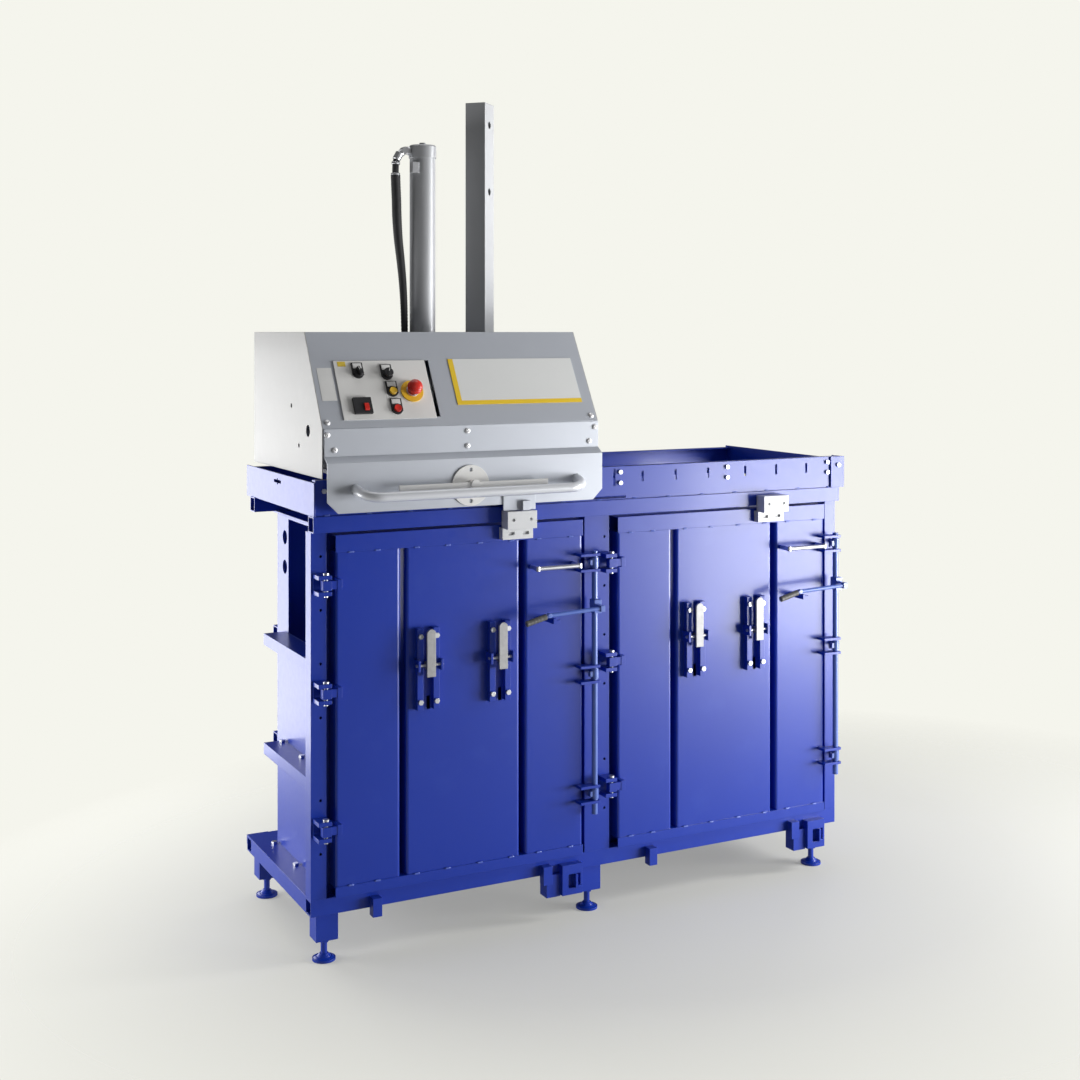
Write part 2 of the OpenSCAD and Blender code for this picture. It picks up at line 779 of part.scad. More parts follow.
// A tube handle with two round bends, tilted a little downwards.
module push_handle() color(grey) placed()
    difference() {
        translate([cyl_x, flap_front, handle_z])
            rotate([15, 0, 0])
                for (side = [-1, 1])
                    scale([side, 1, 1]) {
                        translate([handle_half, 8, 0]) front_pin(handle_d / 2, 20.5);
                        translate([handle_half - handle_bend, -12.5, 0])
                            rotate([0, 0, -90])
                                rotate_extrude(angle = 90) translate([handle_bend, 0]) circle(d = handle_d);
                        translate([0, -12.5 - handle_bend, 0])
                            rotate([0, 90, 0]) cylinder(h = handle_half - handle_bend, d = handle_d);
                    }
        span([carriage_left, flap_front, handle_z - 40], [carriage_right, flap_front + 40, handle_z + 40]);
    }

module lock_tongue() color(grey) placed() {
    x = lock_x;
    difference() {
        union() {
            span([x - 50, flap_front - 4, door_top + 40], [x + 42, flap_front, flap_bottom + 22]);
            span([x, flap_front - 16, door_top + 40], [x + 22, flap_front - 4, flap_bottom + 8]);
        }
        translate([x + 11, flap_front - 10, flap_bottom - 5]) rotate([0, 90, 0]) cylinder(h = 40, r = 3, center = true);
    }
}

module release_disc() color(pale) placed()
    translate([cyl_x, flap_front, handle_z - 4])
        difference() {
            front_pin(52, 4);
            for (z = [-40, 40])
                translate([0, 1, z]) front_pin(5, 6);
            translate([0, 1, 4]) front_pin(8 + run_gap, 6);
        }

module release_lever() color(pale) placed()
    translate([cyl_x, 0, handle_z]) {
        translate([0, flap_front + flap_sheet + 10, 0]) front_pin(8, 45);
        translate([0, flap_front + flap_sheet + 6 + air, 0]) front_pin(14, 6);
        translate([-lever_len / 2, -63, -7]) cube([lever_len, 6, 14]);
        translate([0, -57, 0]) front_pin(13, 10);
    }

// A place on the control plate, from fractions of its width and height.
function on_plate(fx, fs) = [control_x + fx * control_w, control_s + fs * control_h];

stop_at = on_plate(0.786, 0.454);
yellow_at = on_plate(0.573, 0.455);
red_at = on_plate(0.584, 0.155);
selector_at = [on_plate(0.242, 0.778), on_plate(0.551, 0.746)];
rocker_at = on_plate(0.252, 0.192);
switch_box = [rocker_at - [32.5, 17.5], rocker_at + [15, 26.5]];
face = 3;

module control_plate() color(pale) placed()
    difference() {
        on_slope() span([control_x, control_s, 0], [control_x + control_w, control_s + control_h, face]);
        for (p = [yellow_at, red_at, selector_at[0], selector_at[1]])
            on_slope(p[0], p[1], -5) cylinder(h = 15, r = 10.1);
        on_slope(stop_at[0], stop_at[1], -5) cylinder(h = 15, r = 10.1);
        on_slope() span([switch_box[0][0] + 8, switch_box[0][1] + 3, -5],
            [switch_box[1][0] - 6, switch_box[1][1] - 6, 10]);
    }

// A ring round a button with a holder for its label above it.
module bezel(p) {
    on_slope(p[0], p[1], face)
        difference() {
            union() {
                cylinder(h = 5, r = 14.5);
                span([-15, -5, 0], [15, 30, 3]);
            }
            translate([0, 0, -1]) cylinder(h = 8, r = 10 + run_gap);
        }
}

module control_bezels() color(dark) placed()
    for (p = [yellow_at, red_at, each selector_at])
        bezel(p);

module stop_disc() color([0.95, 0.75, 0.10]) placed()
    on_slope(stop_at[0], stop_at[1], face)
        difference() {
            cylinder(h = 4, r = 30);
            translate([0, 0, -1]) cylinder(h = 8, r = 12);
        }

module stop_button() color([0.80, 0.10, 0.08]) placed()
    on_slope(stop_at[0], stop_at[1], 0) {
        translate([0, 0, -12]) cylinder(h = 40, r = 10);
        translate([0, 0, 20]) cylinder(h = 8, r1 = 13, r2 = 20);
        translate([0, 0, 28]) cylinder(h = 8, r = 20);
        translate([0, 0, 36]) cylinder(h = 5, r1 = 20, r2 = 17);
        translate([0, 0, 41]) cylinder(h = 3, r1 = 17, r2 = 9);
    }

module push_button(p) {
    on_slope(p[0], p[1], -8) cylinder(h = face + 18, r = 10);
}

module yellow_button() color([0.92, 0.75, 0.15]) placed() push_button(yellow_at);

module red_button() color([0.80, 0.15, 0.12]) placed() push_button(red_at);

module selector(p) color(dark) placed()
    on_slope(p[0], p[1], 0) {
        translate([0, 0, -8]) cylinder(h = face + 15, r = 10);
        translate([0, 0, face + 7]) cylinder(h = 4, r = 12.5);
        span([-4, -13, face + 9], [4, 13, face + 20]);
    }

module main_switch() color(dark) placed()
    difference() {
        on_slope() {
            span([switch_box[0][0], switch_box[0][1], face], [switch_box[1][0], switch_box[1][1], face + 8]);
            span([switch_box[0][0] + 8.5, switch_box[0][1] + 3.5, -16],
                [switch_box[1][0] - 6.5, switch_box[1][1] - 6.5, face]);
        }
        on_slope(rocker_at[0], rocker_at[1], face + 2)
            translate([-6.5, 0, 0]) rotate([0, 90, 0]) cylinder(h = 13, r = 12 + air);
    }

module main_rocker() color([0.75, 0.10, 0.10]) placed()
    intersection() {
        on_slope(rocker_at[0], rocker_at[1], face + 2)
            translate([-6, 0, 0]) rotate([0, 90, 0]) cylinder(h = 12, r = 12);
        on_slope(rocker_at[0], rocker_at[1], face + 2)
            span([-6, -11, -8], [6, 11, 9]);
    }

sign_w = 0.4715 * carriage_w;
sign_h = 135;
sign_s = 56;
sign_edge = 33;
sign_sheet = 1.5;

module sign_plate() color([0.90, 0.90, 0.88]) placed()
    on_slope()
        span([carriage_right - sign_edge - sign_w, sign_s, 0],
            [carriage_right - sign_edge, sign_s + sign_h, sign_sheet]);

module hood_screws() color(steel) placed() {
    for (p = [[12, -17], [31, -54], [388, -17], [388, -55], [carriage_w - 29, -54], [carriage_w - 12, -17]])
        translate([carriage_left + p[0], strip_front, knee_z + p[1]]) front_pin(6, 4);
    for (x = [38, carriage_right - 17])
        on_slope(x, 21, 0) cylinder(h = 4, r = 6);
}

tank = [220, 160, 110];
motor = [55, 105];
valve = [60, 80, 60];

module power_pack() color(dark) placed() {
    middle = hood_back - 30 - tank[1] / 2;
    translate([carriage_left + 48, middle, plate_z + plate_h]) {
        span([0, -tank[1] / 2, 0], [tank[0], tank[1] / 2, tank[2]]);
        translate([motor[0] + 25, 0, tank[2]]) cylinder(h = motor[1], r = motor[0]);
        translate([tank[0] - valve[0] - 15, 0, tank[2]])
            span([0, -valve[1] / 2, 0], [valve[0], valve[1] / 2, valve[2]]);
    }
}

// ---------- cylinder and ram ----------

module cylinder_body() color(grey) placed()
    translate([cyl_x, cyl_y, 0]) {
        difference() {
            union() {
                translate([0, 0, beam_z]) cylinder(h = barrel_top - beam_z, d = barrel_d);
                translate([0, 0, plate_z + plate_h]) cylinder(h = 12, d = barrel_d + 40);
            }
            translate([0, 0, beam_z + 28]) cylinder(h = barrel_top - beam_z - 28, r = bore_r);
            translate([0, 0, beam_z - 1]) cylinder(h = 40, r = rod_d / 2 + run_gap);
        }
        translate([0, 0, barrel_top]) cylinder(h = cap_h - 4, d = barrel_d + 5);
        translate([0, 0, barrel_top + cap_h - 4]) cylinder(h = 4, d1 = barrel_d + 5, d2 = barrel_d - 3);
        translate([0, 0, barrel_top + cap_h]) cylinder(h = 7, r = 8.5);
    }

module hose_fittings() color(steel) placed()
    translate([cyl_x, cyl_y, barrel_top]) {
        side = barrel_d / 2 + 2.5;
        difference() {
            span([-41, -30, -43], [-22, -8, -14]);
            translate([0, 0, -60]) cylinder(h = 60, d = barrel_d);
        }
        translate([-side, 0, 18]) rotate([0, -90, 0]) cylinder(h = 16, r = 9);
        translate([-side, 0, 18]) rotate([0, -90, 0]) cylinder(h = 7, r = 12, $fn = 6);
        translate([-side - 16, 10 + knee_rim, 18]) front_pin(10 + knee_rim, 2 * (10 + knee_rim));
        bar([-side - 16, 0, 18], hose_route[0], 10);
        difference() {
            span([-73, -20, hose_route[10][2] - 40], [-20, 20, hose_route[10][2]]);
            translate([0, 0, hose_route[10][2] - 60]) cylinder(h = 80, d = barrel_d);
        }
    }

// Points of a route, with extra points between its own.
function route_points(route, steps) = [
    for (i = [0:len(route) - 2], k = [0:steps - 1])
        route[i] + (route[i + 1] - route[i]) * k / steps,
    route[len(route) - 1]
];

function along(points, i) =
    let (a = points[max(i - 1, 0)], b = points[min(i + 1, len(points) - 1)])
    (b - a) / norm(b - a);

// One ring of the hose; the route stays in the plane y = 0.
function ring(point, direction, r, sides) = [
    for (k = [0:sides - 1])
        let (a = 360 * k / sides)
        point + [-direction[2], 0, direction[0]] * r * cos(a) + [0, r * sin(a), 0]
];

// The hose is thin in its collar, thick below it and slimmer again towards its foot.
function hose_r(i, last) =
    i < 7 ? hose_thin_r : hose_thick_r - (hose_thick_r - hose_end_r) * max(0, i - 15) / (last - 15);

module hydraulic_hose() color(dark) placed()
    translate([cyl_x, cyl_y, barrel_top]) {
        sides = 10;
        points = route_points(hose_route, 3);
        last = len(points) - 1;
        rings = [for (i = [0:last])
            each ring(points[i], along(points, i), hose_r(i, last), sides)];
        walls = [for (i = [0:last - 1], k = [0:sides - 1])
            let (n = (k + 1) % sides)
            [i * sides + k, i * sides + n, (i + 1) * sides + n, (i + 1) * sides + k]];
        caps = [[for (k = [sides - 1:-1:0]) k], [for (k = [0:sides - 1]) last * sides + k]];
        polyhedron(rings, concat(walls, caps));
    }

// The guide mast: a closed tube with two holes in one side.
module mast() {
    foot = press_bottom + 10;
    half = [mast_w / 2, mast_d / 2];
    difference() {
        union() {
            box_tube([-half[0], -half[1], foot], [half[0], half[1], mast_top], 2, mast_wall);
            span([-half[0], -half[1], mast_top - 3], [half[0], half[1], mast_top]);
        }
        for (z = [mast_top - 59, mast_top - 244])
            translate([0, mast_wall + 1 - half[1], z]) front_pin(mast_hole / 2, mast_wall + 2);
    }
}

module ram() color(grey) placed() {
    x0 = chamber_left + wall_sheet + plate_gap;
    x1 = chamber_right - wall_sheet - plate_gap;
    y0 = post_back + 4;
    y1 = wall_back - plate_gap;
    difference() {
        union() {
            span([x0, y0, press_bottom], [x1, y1, press_bottom + 10]);
            for (y = [y0 + 10, cyl_y - 34, cyl_y + 26, y1 - 18])
                span([x0 + 10, y, press_bottom + 10], [x1 - 10, y + 8, press_top]);
            for (x = [x0 + 10, x1 - 18])
                span([x, y0 + 10, press_bottom + 10], [x + 8, y1 - 10, press_top]);
            translate([cyl_x, cyl_y, press_bottom + 10]) cylinder(h = 40, d = rod_d + 30);
            translate([mast_x, mast_y, 0])
                rotate([0, 0, mast_turn]) mast();
            translate([cyl_x, cyl_y, press_bottom + 10])
                cylinder(h = barrel_top - 36 - press_bottom - 10, d = rod_d);
            translate([cyl_x, cyl_y, barrel_top - 36 - piston_h]) cylinder(h = piston_h, r = bore_r - run_gap);
        }
    }
}

base_frame();
legs();
feet();
posts();
side_walls();
rear_walls();
wall_ribs();
deck_plate();
top_tubes();
front_rail();
rail_frame();
end_stop();
hinge_brackets();
hinge_pins();
latch_keepers();
frame_bolts();
front_brackets();
door(0);  // door_left
door(1);  // door_right
lock_block(0);  // lock_block_left
lock_block(1);  // lock_block_right
brake_bolts(0);  // brake_bolts_left
brake_bolts(1);  // brake_bolts_right
latch_shaft(0);  // latch_shaft_left
latch_shaft(1);  // latch_shaft_right
lever_grip(0);  // lever_grip_left
lever_grip(1);  // lever_grip_right
strap_lever(1);  // strap_lever_1
strap_lever(2);  // strap_lever_2
strap_lever(3);  // strap_lever_3
strap_lever(4);  // strap_lever_4
carriage_frame();
side_panels();
hood();
apron();
push_handle();
lock_tongue();
release_disc();
release_lever();
control_plate();
control_bezels();
stop_disc();
stop_button();
yellow_button();
red_button();
selector(selector_at[0]);  // selector_left
selector(selector_at[1]);  // selector_right
main_switch();
main_rocker();
sign_plate();
hood_screws();
roller(roller_places[0]);  // roller_front_left
roller(roller_places[1]);  // roller_front_right
roller(roller_places[0], true);  // roller_rear_left
roller(roller_places[1], true);  // roller_rear_right
power_pack();
cylinder_body();  // cylinder
hose_fittings();
hydraulic_hose();
ram();
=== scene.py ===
"""Two-chamber waste baler: finishes, dressed pieces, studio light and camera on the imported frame."""

from __future__ import annotations

import logging
import math
from dataclasses import dataclass, replace
from enum import Enum
from typing import Any, Callable, Iterable, Sequence

import bmesh
import bpy
from mathutils import Matrix, Vector


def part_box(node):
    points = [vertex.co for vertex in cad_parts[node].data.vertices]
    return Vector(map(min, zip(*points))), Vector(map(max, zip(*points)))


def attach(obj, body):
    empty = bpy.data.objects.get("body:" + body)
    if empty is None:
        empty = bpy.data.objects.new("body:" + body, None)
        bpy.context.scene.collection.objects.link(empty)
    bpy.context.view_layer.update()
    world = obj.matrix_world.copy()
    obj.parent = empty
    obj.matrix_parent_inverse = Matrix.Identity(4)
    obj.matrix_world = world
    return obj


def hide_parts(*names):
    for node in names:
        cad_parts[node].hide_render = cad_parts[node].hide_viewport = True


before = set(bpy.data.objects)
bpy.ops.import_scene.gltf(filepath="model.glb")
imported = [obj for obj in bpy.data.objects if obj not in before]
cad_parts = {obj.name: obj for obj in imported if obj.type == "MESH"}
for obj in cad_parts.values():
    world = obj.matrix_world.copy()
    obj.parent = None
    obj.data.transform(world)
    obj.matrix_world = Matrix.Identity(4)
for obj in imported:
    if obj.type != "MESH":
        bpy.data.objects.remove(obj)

log = logging.getLogger("baler")
MM = 0.001
Flat = tuple[float, float]
Point = tuple[float, float, float]
Area = tuple[float, float, float, float]
Colour = tuple[float, float, float]


class Axis(Enum):
    """The main directions of the machine, by their place in a point."""

    X = 0
    Y = 1
    Z = 2


# ---------------------------------------------------------------- shader maths


class Value:
    """A number socket of a shader, so that Math nodes are written as expressions."""

    def __init__(self, shader: "Shader", socket: bpy.types.NodeSocket) -> None:
        """Wrap a socket.

        Args:
            shader: the shader that owns the socket.
            socket: an output that carries a number.
        """
        self.shader = shader
        self.socket = socket

    def _math(self, operation: str, first: Any, second: Any, clamp: bool = False) -> "Value":
        """Add one Math node.

        Args:
            operation: the node's operation.
            first: the first value, a Value or a number.
            second: the second value, a Value or a number.
            clamp: keep the result between 0 and 1.

        Returns:
            The node's result.
        """
        node = self.shader.node(
            "ShaderNodeMath", {0: first, 1: second}, operation=operation, use_clamp=clamp
        )
        return Value(self.shader, node.outputs[0])

    def __add__(self, other: Any) -> "Value":
        """Return self + other."""
        return self._math("ADD", self, other)

    def __radd__(self, other: Any) -> "Value":
        """Return other + self."""
        return self._math("ADD", other, self)

    def __sub__(self, other: Any) -> "Value":
        """Return self - other."""
        return self._math("SUBTRACT", self, other)

    def __rsub__(self, other: Any) -> "Value":
        """Return other - self."""
        return self._math("SUBTRACT", other, self)

    def __mul__(self, other: Any) -> "Value":
        """Return self * other."""
        return self._math("MULTIPLY", self, other)

    def __rmul__(self, other: Any) -> "Value":
        """Return other * self."""
        return self._math("MULTIPLY", other, self)

    def __truediv__(self, other: Any) -> "Value":
        """Return self / other."""
        return self._math("DIVIDE", self, other)

    def __rtruediv__(self, other: Any) -> "Value":
        """Return other / self."""
        return self._math("DIVIDE", other, self)

    def below(self, limit: float) -> "Value":
        """Return 1 where self is under the limit, else 0."""
        return self._math("LESS_THAN", self, limit)

    def above(self, limit: float) -> "Value":
        """Return 1 where self is over the limit, else 0."""
        return self._math("GREATER_THAN", self, limit)

    def power(self, exponent: float) -> "Value":
        """Return self to a power."""
        return self._math("POWER", self, exponent)

    def clamped(self) -> "Value":
        """Return self kept between 0 and 1."""
        return self._math("ADD", self, 0.0, clamp=True)


class Shader:
    """One material's node tree, ending in a Principled shader."""

    def __init__(self, name: str) -> None:
        """Make an empty material.

        Args:
            name: the material's name.
        """
        self.material = bpy.data.materials.new(name)
        self.material.use_nodes = True
        self.tree = self.material.node_tree
        self.tree.nodes.clear()
        self.out = self.node("ShaderNodeOutputMaterial")
        self.body = self.node("ShaderNodeBsdfPrincipled")
        self.link(self.body.outputs[0], self.out.inputs[0])
        self.place = self.node("ShaderNodeTexCoord").outputs["Object"]

    def link(self, source: bpy.types.NodeSocket, target: bpy.types.NodeSocket) -> None:
        """Join an output to an input."""
        self.tree.links.new(source, target)

    def fill(self, target: bpy.types.NodeSocket, value: Any) -> None:
        """Give an input what it needs.

        Args:
            target: the input.
            value: a Value or an output to link to it, or a constant to set on it.
        """
        source = value.socket if isinstance(value, Value) else value
        if isinstance(source, bpy.types.NodeSocket):
            self.link(source, target)
        elif target.type == "RGBA":
            target.default_value = (*source, 1.0)
        else:
            target.default_value = source

    def node(self, kind: str, inputs: dict[Any, Any] | None = None, **settings: Any) -> bpy.types.Node:
        """Add any node, set it up and fill its inputs.

        Args:
            kind: the node's type.
            inputs: values, sockets or Values for its inputs, by name or number.
            settings: its properties, set before the inputs.

        Returns:
            The new node.
        """
        made = self.tree.nodes.new(kind)
        for key, value in settings.items():
            setattr(made, key, value)
        for key, value in (inputs or {}).items():
            self.fill(made.inputs[key], value)
        return made

    def stretched(self, scale: Point) -> bpy.types.NodeSocket:
        """Return object coordinates stretched along the axes.

        Args:
            scale: the factor along each axis.

        Returns:
            The stretched coordinates.
        """
        return self.node("ShaderNodeMapping", {"Vector": self.place, "Scale": scale}).outputs[0]

    def noise(self, scale: float, detail: float, at: bpy.types.NodeSocket | None = None) -> Value:
        """Return a noise pattern from 0 to 1.

        Args:
            scale: how many lumps there are in a metre.
            detail: how many octaves it has.
            at: the coordinates, object coordinates if left out.

        Returns:
            The pattern.
        """
        inputs = {"Vector": at or self.place, "Scale": scale, "Detail": detail}
        return Value(self, self.node("ShaderNodeTexNoise", inputs).outputs[0])

    def axis(self, which: Axis) -> Value:
        """Return one object coordinate."""
        return Value(self, self.node("ShaderNodeSeparateXYZ", {0: self.place}).outputs[which.value])

    def mix(self, factor: Any, first: Any, second: Any) -> bpy.types.NodeSocket:
        """Blend two colours.

        Args:
            factor: 0 gives the first colour and 1 the second.
            first: a colour or a colour socket.
            second: a colour or a colour socket.

        Returns:
            The blended colour.
        """
        made = self.node("ShaderNodeMix", {0: factor, 6: first, 7: second}, data_type="RGBA")
        return made.outputs[2]

    def rounded(self, radius: float) -> bpy.types.NodeSocket:
        """Return the surface normal with its edges rounded.

        Args:
            radius: the radius of the rounding in metres.

        Returns:
            The rounded normal.
        """
        return self.node("ShaderNodeBevel", {"Radius": radius}, samples=4).outputs[0]

    def edges(self, soft: bpy.types.NodeSocket, gain: float) -> Value:
        """Return a mask of the part's edges.

        Args:
            soft: the rounded normal.
            gain: how fast the mask rises at an edge.

        Returns:
            1 on an edge and 0 away from it.
        """
        flat = self.node("ShaderNodeNewGeometry").outputs["Normal"]
        dot = self.node("ShaderNodeVectorMath", {0: soft, 1: flat}, operation="DOT_PRODUCT")
        return ((1.0 - Value(self, dot.outputs["Value"])) * gain).clamped()

    def bump(
        self, height: Value, strength: float, distance: float, normal: bpy.types.NodeSocket
    ) -> bpy.types.NodeSocket:
        """Return the normal of a bumpy surface.

        Args:
            height: the pattern of heights.
            strength: how strong the bumps are.
            distance: their height in metres.
            normal: the normal that the bumps are added to.

        Returns:
            The bumped normal.
        """
        inputs = {"Strength": strength, "Distance": distance, "Height": height, "Normal": normal}
        return self.node("ShaderNodeBump", inputs).outputs[0]

    def finish(self, **inputs: Any) -> bpy.types.Material:
        """Fill the Principled shader and hand over the material.

        Args:
            inputs: sockets or constants, by input name with _ for a space.

        Returns:
            The material.
        """
        for key, value in inputs.items():
            self.fill(self.body.inputs[key.replace("_", " ")], value)
        return self.material


# ---------------------------------------------------------------- finishes


@dataclass(frozen=True)
class Patch:
    """An upright box of space in which painted steel stays bare."""

    low: Point
    high: Point

    def mask(self, shader: Shader) -> Value:
        """Return 1 inside the box and 0 outside it."""
        inside: Any = 1.0
        for axis, low, high in zip(Axis, self.low, self.high):
            place = shader.axis(axis)
            inside = place.above(low) * place.below(high) * inside
        return inside


@dataclass(frozen=True)
class PowderCoat:
    """Baked paint on steel: soft orange peel, cloudy colour and rubbed edges."""

    name: str
    deep: Colour
    light: Colour
    edge: Colour
    roughness: float = 0.32
    peel: float = 0.12
    wear: float = 0.35
    edge_radius: float = 1.6 * MM
    coat: float = 0.25
    flake: float = 0.0
    bare: Patch | None = None
    steel: Colour = (0.70, 0.71, 0.74)

    def build(self) -> bpy.types.Material:
        """Return the painted material."""
        shader = Shader(self.name)
        bare = self.bare.mask(shader) if self.bare else 0.0
        cloud = shader.noise(3.0, 4.0)
        speck = shader.noise(60.0, 3.0)
        peel = shader.noise(520.0, 1.0)
        soft = shader.rounded(self.edge_radius)
        rub = (shader.edges(soft, 5.0) * (speck * 1.6 - 0.35) * self.wear).clamped()
        base = shader.mix(cloud, self.deep, self.light)
        dust = ((shader.noise(11.0, 5.0) - 0.58) * 0.3).clamped()
        dusty = shader.mix(dust, base, self.edge)
        return shader.finish(
            Base_Color=shader.mix(bare, shader.mix(rub, dusty, self.edge), self.steel),
            Roughness=(speck - 0.5) * 0.10 + self.roughness + rub * 0.15,
            Normal=shader.bump(peel, self.peel, 0.15 * MM, soft),
            Metallic=bare * (0.9 - self.flake) + self.flake,
            Coat_Weight=self.coat,
            Coat_Roughness=0.12,
        )


@dataclass(frozen=True)
class BareSteel:
    """Zinc-plated or turned steel with fine lines and a mottled sheen."""

    name: str
    dark: Colour
    bright: Colour
    roughness: float = 0.30
    lines: Point = (20.0, 20.0, 900.0)

    def build(self) -> bpy.types.Material:
        """Return the metal material."""
        shader = Shader(self.name)
        mottle = shader.noise(85.0, 3.0)
        line = shader.noise(1.0, 2.0, shader.stretched(self.lines))
        soft = shader.rounded(0.8 * MM)
        rub = shader.edges(soft, 4.0)
        colour = shader.mix(mottle, self.dark, self.bright)
        return shader.finish(
            Base_Color=shader.mix(rub * 0.5, colour, (0.92, 0.92, 0.93)),
            Metallic=0.85 + mottle * 0.1,
            Roughness=self.roughness + line * 0.12 - rub * 0.08,
            Normal=shader.bump(line, 0.10, 0.1 * MM, soft),
        )


@dataclass(frozen=True)
class Moulded:
    """Moulded plastic or rubber with a fine grain."""

    name: str
    colour: Colour
    worn: Colour
    roughness: float = 0.42
    grain: float = 900.0
    grain_strength: float = 0.12

    def build(self) -> bpy.types.Material:
        """Return the plastic material."""
        shader = Shader(self.name)
        grain = shader.noise(self.grain, 2.0)
        cloud = shader.noise(35.0, 3.0)
        soft = shader.rounded(0.6 * MM)
        rub = (shader.edges(soft, 3.0) * cloud * 0.6).clamped()
        colour = shader.mix(cloud * 0.5, self.colour, self.worn)
        return shader.finish(
            Base_Color=shader.mix(rub, colour, self.worn),
            Roughness=self.roughness + cloud * 0.10,
            Normal=shader.bump(grain, self.grain_strength, 0.1 * MM, soft),
        )


@dataclass(frozen=True)
class BandedSign:
    """A plain pale enamelled plate with one warm band at its left and foot."""

    name: str
    left_x: float
    foot_z: float
    band: float = 14.0 * MM
    foot_band: float = 11.0 * MM
    pale: Colour = (0.80, 0.81, 0.80)
    warm: Colour = (0.88, 0.60, 0.04)

    def build(self) -> bpy.types.Material:
        """Return the sign's material."""
        shader = Shader(self.name)
        side = shader.axis(Axis.X).below(self.left_x + self.band)
        foot = shader.axis(Axis.Z).below(self.foot_z + self.foot_band)
        band = (side + foot).clamped()
        cloud = shader.noise(9.0, 4.0)
        soft = shader.rounded(0.6 * MM)
        face = shader.mix(cloud * 0.4, self.pale, (0.70, 0.71, 0.71))
        return shader.finish(
            Base_Color=shader.mix(band, face, self.warm),
            Roughness=0.34 + cloud * 0.08,
            Normal=shader.bump(shader.noise(400.0, 1.0), 0.06, 0.1 * MM, soft),
        )


# A lighter blue than the frame's paint for the latch shafts and their lever bars: painted highlight, the same
# paint shown lit up.
HIGHLIGHT_BLUE = PowderCoat(
    "highlight_blue", (0.085, 0.150, 0.50), (0.100, 0.175, 0.56), (0.30, 0.38, 0.80),
    roughness=0.36, coat=0.5,
)
# Weld beads: a lighter blue than the doors' paint with pale edges, painted highlight where light catches the
# beads.
BEAD_HIGHLIGHT_BLUE = PowderCoat(
    "bead_highlight_blue", (0.07, 0.12, 0.52), (0.11, 0.17, 0.60), (0.50, 0.56, 0.86),
    roughness=0.25, coat=0.6, wear=0.9,
)
BLUE = PowderCoat(
    "blue_coat", (0.004, 0.030, 0.34), (0.006, 0.038, 0.40), (0.08, 0.16, 0.62),
    roughness=0.33, coat=0.15,
)
GREY = PowderCoat(
    "grey_coat", (0.51, 0.537, 0.595), (0.57, 0.60, 0.66), (0.74, 0.76, 0.79),
    roughness=0.42, coat=0.12, flake=0.25,
)
RAIL = PowderCoat(
    "handle_coat", (0.72, 0.74, 0.79), (0.78, 0.80, 0.84), (0.86, 0.87, 0.89),
    roughness=0.32, coat=0.3, flake=0.2,
)
SILVER = PowderCoat(
    "silver_coat", (0.41, 0.42, 0.44), (0.48, 0.49, 0.51), (0.68, 0.69, 0.71),
    roughness=0.44, coat=0.1, flake=0.3,
)
PALE = PowderCoat(
    "pale_coat", (0.42, 0.42, 0.42), (0.475, 0.475, 0.47), (0.68, 0.68, 0.68),
    roughness=0.50, coat=0.05,
)
PLATE = PowderCoat(
    "plate_coat", (0.76, 0.755, 0.74), (0.83, 0.825, 0.81), (0.88, 0.88, 0.87),
    roughness=0.45, coat=0.05,
)
WHITE = PowderCoat(
    "white_coat", (0.62, 0.63, 0.65), (0.70, 0.71, 0.72), (0.84, 0.84, 0.84),
    roughness=0.38, coat=0.15,
)
# Near-black coat on the power pack: painted shade.
SHADOW = PowderCoat(
    "pack_shade_coat", (0.03, 0.03, 0.033), (0.05, 0.05, 0.055), (0.20, 0.20, 0.21),
    roughness=0.5, coat=0.0,
)
ZINC = BareSteel("zinc_steel", (0.60, 0.61, 0.64), (0.78, 0.79, 0.81))
CAP = BareSteel("cap_steel", (0.80, 0.80, 0.82), (0.90, 0.90, 0.91), roughness=0.52)
CAST = BareSteel(
    "clamp_steel", (0.27, 0.27, 0.275), (0.40, 0.40, 0.405),
    roughness=0.50, lines=(700.0, 20.0, 20.0),
)
BLACK = Moulded("black_plastic", (0.012, 0.012, 0.014), (0.05, 0.05, 0.055))
GRIP = Moulded("grip_sleeve", (0.10, 0.098, 0.092), (0.19, 0.186, 0.175), roughness=0.36, grain_strength=0.15)
SLEEVE = Moulded("hose_sleeve", (0.014, 0.014, 0.016), (0.05, 0.05, 0.055), roughness=0.6, grain=1400.0)
YELLOW = Moulded("yellow_plastic", (0.85, 0.50, 0.02), (0.92, 0.62, 0.10), roughness=0.3, grain_strength=0.04)
RED = Moulded("red_plastic", (0.62, 0.015, 0.012), (0.75, 0.08, 0.05), roughness=0.25, grain_strength=0.03)
LABEL = Moulded("label_card", (0.78, 0.78, 0.77), (0.68, 0.68, 0.67), roughness=0.5, grain=500.0)
TICKET = Moulded("yellow_ticket", (0.86, 0.62, 0.05), (0.80, 0.60, 0.12), roughness=0.45, grain=500.0)


class Paintshop:
    """Builds each finish once and puts it on pieces and CAD nodes."""

    def __init__(self) -> None:
        """Start with no material made."""
        self.made: dict[str, bpy.types.Material] = {}

    def get(self, finish: Any) -> bpy.types.Material:
        """Return a finish's material, made the first time it is asked for."""
        if finish.name not in self.made:
            self.made[finish.name] = finish.build()
        return self.made[finish.name]

    def coat(self, obj: bpy.types.Object, finish: Any) -> None:
        """Put a finish on an object.

        Args:
            obj: the piece or CAD node.
            finish: the finish to put on all of it.
        """
        material = self.get(finish)
        if not obj.material_slots:
            obj.data.materials.append(material)
        for slot in obj.material_slots:
            slot.material = material


PAINT = Paintshop()


# ---------------------------------------------------------------- the bench


